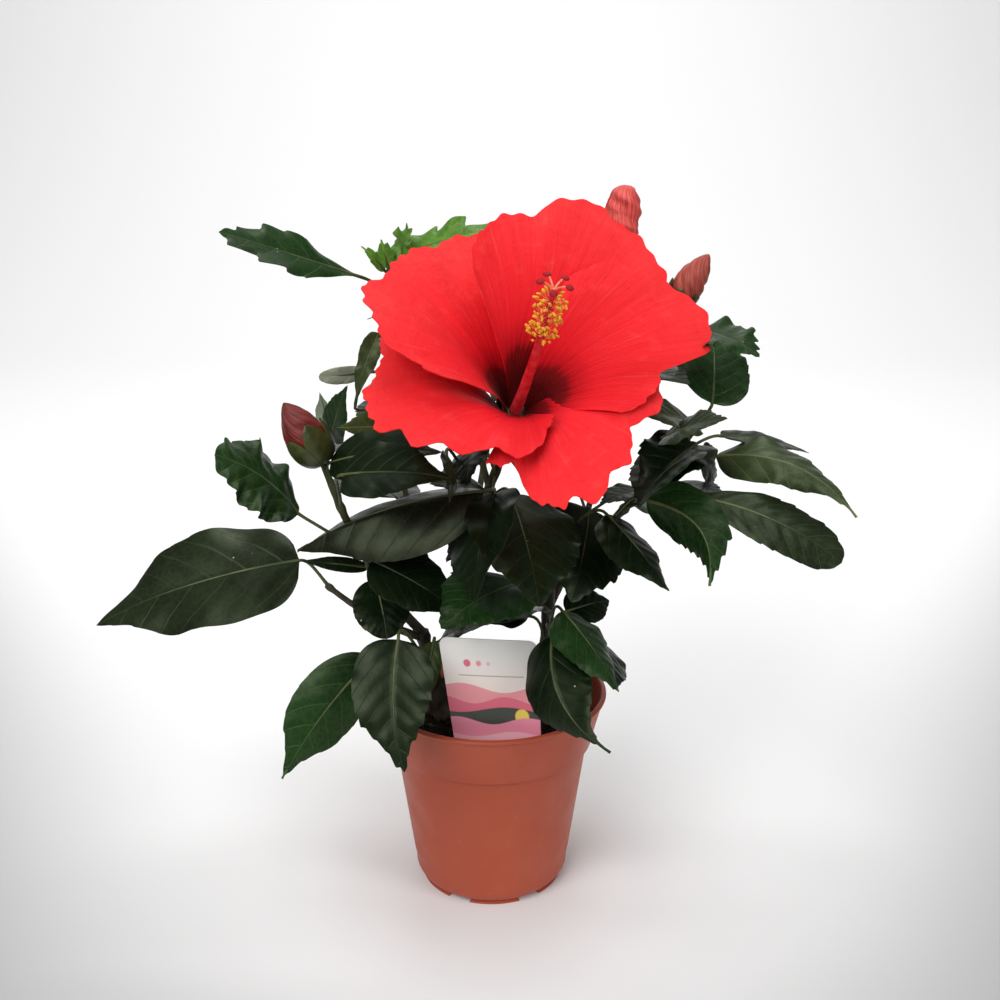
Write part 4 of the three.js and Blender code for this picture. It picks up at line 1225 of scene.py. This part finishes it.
def soilHeight(x, y):
    spot = Vector((x * 0.11, y * 0.11, 3.0))
    return soil["relief"] * noise.fractal(spot, 0.9, 2.1, 5) - 0.6


def makeSoil():
    rings, sides = soil["rings"], soil["sides"]
    heap = Heap()
    points, faces = [(0, 0, soil["top"] + soilHeight(0, 0))], []
    for i in range(1, rings + 1):
        radius = soil["radius"] * i / rings
        for j in range(sides):
            a = 2 * math.pi * j / sides
            x, y = radius * math.cos(a), radius * math.sin(a)
            edge = 1.5 * max(0, (i / rings - 0.9) / 0.1) ** 2
            points.append((x, y, soil["top"] + soilHeight(x, y) - edge))
    for j in range(sides):
        a = 2 * math.pi * j / sides
        points.append(((soil["radius"] - 4) * math.cos(a), (soil["radius"] - 4) * math.sin(a),
                       soil["top"] - soil["depth"]))
    for j in range(sides):
        k = (j + 1) % sides
        faces.append((0, 1 + j, 1 + k))
        faces += [(1 + i * sides + j, 1 + (i + 1) * sides + j, 1 + (i + 1) * sides + k, 1 + i * sides + k)
                  for i in range(rings)]
    faces.append(tuple(1 + rings * sides + j for j in reversed(range(sides))))
    heap.add(points, faces)
    peat = soilMaterial()
    obj = heap.build("peat_bed", [peat])
    smooth(obj, 80)
    finishPiece(obj, "soil", "soil")
    dice = np.random.default_rng(soil["seed"])
    crumbs = Heap()
    for _ in range(soil["crumbs"]):
        radius = (soil["radius"] - 2.5) * math.sqrt(dice.random())
        a = dice.random() * 2 * math.pi
        x, y = radius * math.cos(a), radius * math.sin(a)
        size = dice.uniform(0.5, 1.5) * (1 + (dice.random() < 0.12))
        shape, sheets = blob(np.array([x, y, soil["top"] + soilHeight(x, y) + size * 0.35]),
                             size * dice.uniform(0.5, 1.3, 3), unit(dice.normal(size=3)), 7, 5)
        shape = np.array(shape)
        shape += dice.normal(size=shape.shape) * size * 0.12
        crumbs.add(shape, sheets)
    obj = crumbs.build("peat_crumbs", [peat])
    smooth(obj, 40)
    finishPiece(obj, "soil")


makeSoil()
print("stage: soil made")

# the plant label: a slightly bowed card with a plain printed pattern

label = {"width": 52.0, "footWidth": 45.0, "height": 64.0, "sink": 3.0, "thickness": 0.8, "corner": 5.0,
         "place": (4.5, -50.5, 100), "lean": 6.0, "tilt": 5.5, "slope": 0.035, "turn": -2.0, "bow": 0.9,
         "slices": 24}
labelInks = {"paper": (0.86, 0.74, 0.68), "paperTop": (0.83, 0.81, 0.78), "rose": (0.82, 0.30, 0.33),
             "crimson": (0.74, 0.13, 0.20), "night": (0.035, 0.045, 0.032), "amber": (0.88, 0.62, 0.08),
             "pink": (0.80, 0.26, 0.36), "blush": (0.88, 0.45, 0.52), "gold": (0.90, 0.66, 0.12),
             "wine": (0.62, 0.06, 0.10), "bar": (0.25, 0.22, 0.21), "grain": (0.4, 0.36, 0.34)}


def labelMaterial():
    material, tree, shader = startMaterial("labelPrint", **{
        "Roughness": 0.32, "Specular IOR Level": 0.5, "Coat Weight": 0.35, "Coat Roughness": 0.12})
    card = parts(tree, uvMap(tree, "Card"))
    x, y = card["X"], card["Y"]

    def ridge(height, swing, pace, start):
        # 1 below a wavy line across the card
        wave = calc(tree, "SINE", plus(tree, times(tree, x, pace), start))
        line = plus(tree, times(tree, wave, swing), height)
        return spread(tree, minus(tree, line, y), -0.004, 0.004)

    def disc(across, up, radius):
        dx = times(tree, minus(tree, x, across), label["width"] / label["height"])
        dy = minus(tree, y, up)
        squares = plus(tree, times(tree, dx, dx), times(tree, dy, dy))
        return fade(tree, calc(tree, "SQRT", squares), radius - 0.006, radius + 0.006)

    def band(value, middle, inside, outside):
        return fade(tree, calc(tree, "ABSOLUTE", minus(tree, value, middle)), inside, outside)

    ink = labelInks
    colour = blendColour(tree, spread(tree, y, 0.55, 0.95), rgb(*ink["paper"]), rgb(*ink["paperTop"]))
    layers = [
        (ridge(0.60, 0.035, 7.0, 0.4), "rose"), (ridge(0.50, 0.030, 9.0, 2.2), "crimson"),
        (ridge(0.42, 0.025, 6.0, 4.1), "night"), (disc(0.80, 0.37, 0.062), "amber"),
        (ridge(0.33, 0.028, 8.0, 1.0), "pink"), (ridge(0.22, 0.022, 7.0, 3.0), "blush"),
        (disc(0.20, 0.13, 0.045), "gold"), (ridge(0.09, 0.016, 10.0, 5.0), "wine"),
        (disc(0.26, 0.80, 0.030), "crimson"), (disc(0.38, 0.80, 0.022), "rose"),
        (disc(0.48, 0.80, 0.015), "blush"),
        (times(tree, times(tree, band(y, 0.70, 0.003, 0.006), band(x, 0.5, 0.33, 0.35)), 0.7), "bar"),
    ]
    for share, name in layers:
        colour = blendColour(tree, share, colour, rgb(*ink[name]))
    grain = speckle(tree, objectPlace(tree), 900.0, 2.0)
    colour = blendColour(tree, times(tree, grain, 0.06), colour, rgb(*ink["grain"]))
    wire(tree, shader, colour=colour, normal=bump(tree, grain, 0.12, 0.0001))
    return material


def makeLabel():
    width, height, sink = label["width"], label["height"], label["sink"]
    bpy.ops.mesh.primitive_cube_add(size=1, location=(0, 0, 0),
                                    scale=(width * mm, label["thickness"] * mm, height * mm))
    obj = bpy.context.object
    obj.name = "label_card"
    bpy.ops.object.transform_apply(location=True, rotation=True, scale=True)
    bpy.ops.object.mode_set(mode="EDIT")
    bpy.ops.mesh.select_all(action="DESELECT")
    bpy.ops.object.mode_set(mode="OBJECT")
    for edge in obj.data.edges:
        a, b = (obj.data.vertices[i].co for i in edge.vertices)
        edge.select = a.z > 0 and b.z > 0 and abs(a.x - b.x) < 1e-6
    bpy.ops.object.mode_set(mode="EDIT")
    bpy.ops.mesh.select_mode(type="EDGE")
    bpy.ops.mesh.bevel(offset=label["corner"] * mm, segments=10, affect="EDGES")
    bpy.ops.object.mode_set(mode="OBJECT")
    # slices across the card, so that it can bow
    for i in range(1, label["slices"]):
        bpy.ops.object.mode_set(mode="EDIT")
        bpy.ops.mesh.select_all(action="SELECT")
        bpy.ops.mesh.bisect(plane_co=((i / label["slices"] - 0.5) * width * mm, 0, 0), plane_no=(1, 0, 0))
        bpy.ops.object.mode_set(mode="OBJECT")
    mesh = obj.data
    corners = np.empty(len(mesh.loops), np.int32)
    mesh.loops.foreach_get("vertex_index", corners)
    flat = np.array([v.co[:] for v in mesh.vertices]) / mm
    card = np.stack([flat[:, 0] / width + 0.5, flat[:, 2] / height + 0.5], -1)
    mesh.uv_layers.active.name = "Card"
    mesh.uv_layers["Card"].data.foreach_set("uv", card[corners].astype(np.float32).ravel())
    lean, tilt, turn = (math.radians(label[key]) for key in ("lean", "tilt", "turn"))
    for vertex, (x, y, z) in zip(mesh.vertices, flat):
        up = z + height / 2
        share = up / height
        x *= (label["footWidth"] + (width - label["footWidth"]) * share) / width
        y += label["bow"] * ((2 * x / width) ** 2 - 0.4)
        if share < 0.01:
            up -= sink
        x, up = x - up * math.sin(tilt), up - x * label["slope"] * max(0.0, share)
        y, up = y * math.cos(lean) + up * math.sin(lean), up * math.cos(lean) - y * math.sin(lean)
        x, y = x * math.cos(turn) - y * math.sin(turn), x * math.sin(turn) + y * math.cos(turn)
        vertex.co = Vector((x + label["place"][0], y + label["place"][1], up + label["place"][2])) * mm
    back = plainLook("labelBack", (0.78, 0.76, 0.73), labelInks["paperTop"], 0.4, 300.0, 0.0001)
    mesh.materials.clear()
    mesh.materials.append(labelMaterial())
    mesh.materials.append(back)
    for face in mesh.polygons:
        face.material_index = 0 if face.normal.y < -0.6 else 1
    smooth(obj, 35)
    finishPiece(obj, "label", "plant_label")


makeLabel()
print("stage: label made")

# the pale floor, the lights and the camera

# the floor's near-corner colour, spread from shadeFrom to shadeTo, is painted shade
studio = {"width": 9.0, "front": -4.0, "wallFrom": 1.5, "curve": 1.6, "wallTop": 4.5, "bends": 24,
          "shadeFrom": 0.09, "shadeTo": 0.40, "far": (0.90, 0.90, 0.90), "paintedShadeCorner": (0.36, 0.36, 0.36),
          "world": 0.18}
lamps = {
    "keyLight": {"place": (-0.9, -1.6, 1.6), "aim": (0.0, 0.0, 0.2), "size": 1.7, "watts": 36.0},
    "fillLight": {"place": (1.7, -1.2, 1.0), "aim": (0.0, 0.0, 0.2), "size": 1.0, "watts": 12.5},
    "topLight": {"place": (0.1, -0.1, 2.0), "aim": (0.0, 0.0, 0.2), "size": 1.2, "watts": 13.0},
    "wallLight": {"place": (0.0, 0.9, 2.3), "aim": (0.0, 2.7, 0.8), "size": 1.4, "watts": 41.0},
}
view = {"lens": 46, "sensor": 36, "place": (0.005, -0.658, 0.4335), "tilt": 72.5}


def makeStudio():
    profile = [(studio["front"], 0.0), (studio["wallFrom"], 0.0)]
    for i in range(1, studio["bends"] + 1):
        a = math.radians(90 * i / studio["bends"])
        profile.append((studio["wallFrom"] + studio["curve"] * math.sin(a),
                        studio["curve"] * (1 - math.cos(a))))
    profile.append((studio["wallFrom"] + studio["curve"], studio["wallTop"]))
    half = studio["width"] / 2
    points = [(x, y, z) for y, z in profile for x in (-half, half)]
    faces = [(2 * i, 2 * i + 1, 2 * i + 3, 2 * i + 2) for i in range(len(profile) - 1)]
    mesh = bpy.data.meshes.new("backdrop")
    mesh.from_pydata(points, [], faces)
    mesh.polygons.foreach_set("use_smooth", [True] * len(faces))
    floor = bpy.data.objects.new("backdrop", mesh)
    bpy.context.scene.collection.objects.link(floor)
    # painted shade: the floor's colour darkens towards its near corners, a painted vignette
    material, tree, shader = startMaterial("paleFloor", **{"Roughness": 0.9})
    place = parts(tree, objectPlace(tree))
    outward = minus(tree, calc(tree, "ABSOLUTE", place["X"]), times(tree, place["Y"], 0.6))
    shade = spread(tree, outward, studio["shadeFrom"], studio["shadeTo"])
    wire(tree, shader, colour=blendColour(tree, shade, rgb(*studio["far"]), rgb(*studio["paintedShadeCorner"])))
    mesh.materials.append(material)


makeStudio()
for name, lamp in lamps.items():
    light = bpy.data.lights.new(name, "AREA")
    light.shape, light.size, light.energy = "DISK", lamp["size"], lamp["watts"]
    obj = bpy.data.objects.new(name, light)
    obj.location = lamp["place"]
    obj.rotation_euler = (Vector(lamp["aim"]) - Vector(lamp["place"])).to_track_quat("-Z", "Y").to_euler()
    bpy.context.scene.collection.objects.link(obj)
world = bpy.data.worlds.new("paleRoom")
bpy.context.scene.world = world
world.use_nodes = True
background = world.node_tree.nodes["Background"].inputs
background["Color"].default_value = rgb(1.0, 1.0, 1.0)
background["Strength"].default_value = studio["world"]
bpy.context.scene.view_settings.view_transform = "Standard"

camera = bpy.data.cameras.new("camera")
camera.lens, camera.sensor_width = view["lens"], view["sensor"]
eye = bpy.data.objects.new("camera", camera)
eye.location = view["place"]
eye.rotation_euler = (math.radians(view["tilt"]), 0, 0)
bpy.context.scene.collection.objects.link(eye)
bpy.context.scene.camera = eye
print("stage: studio made")
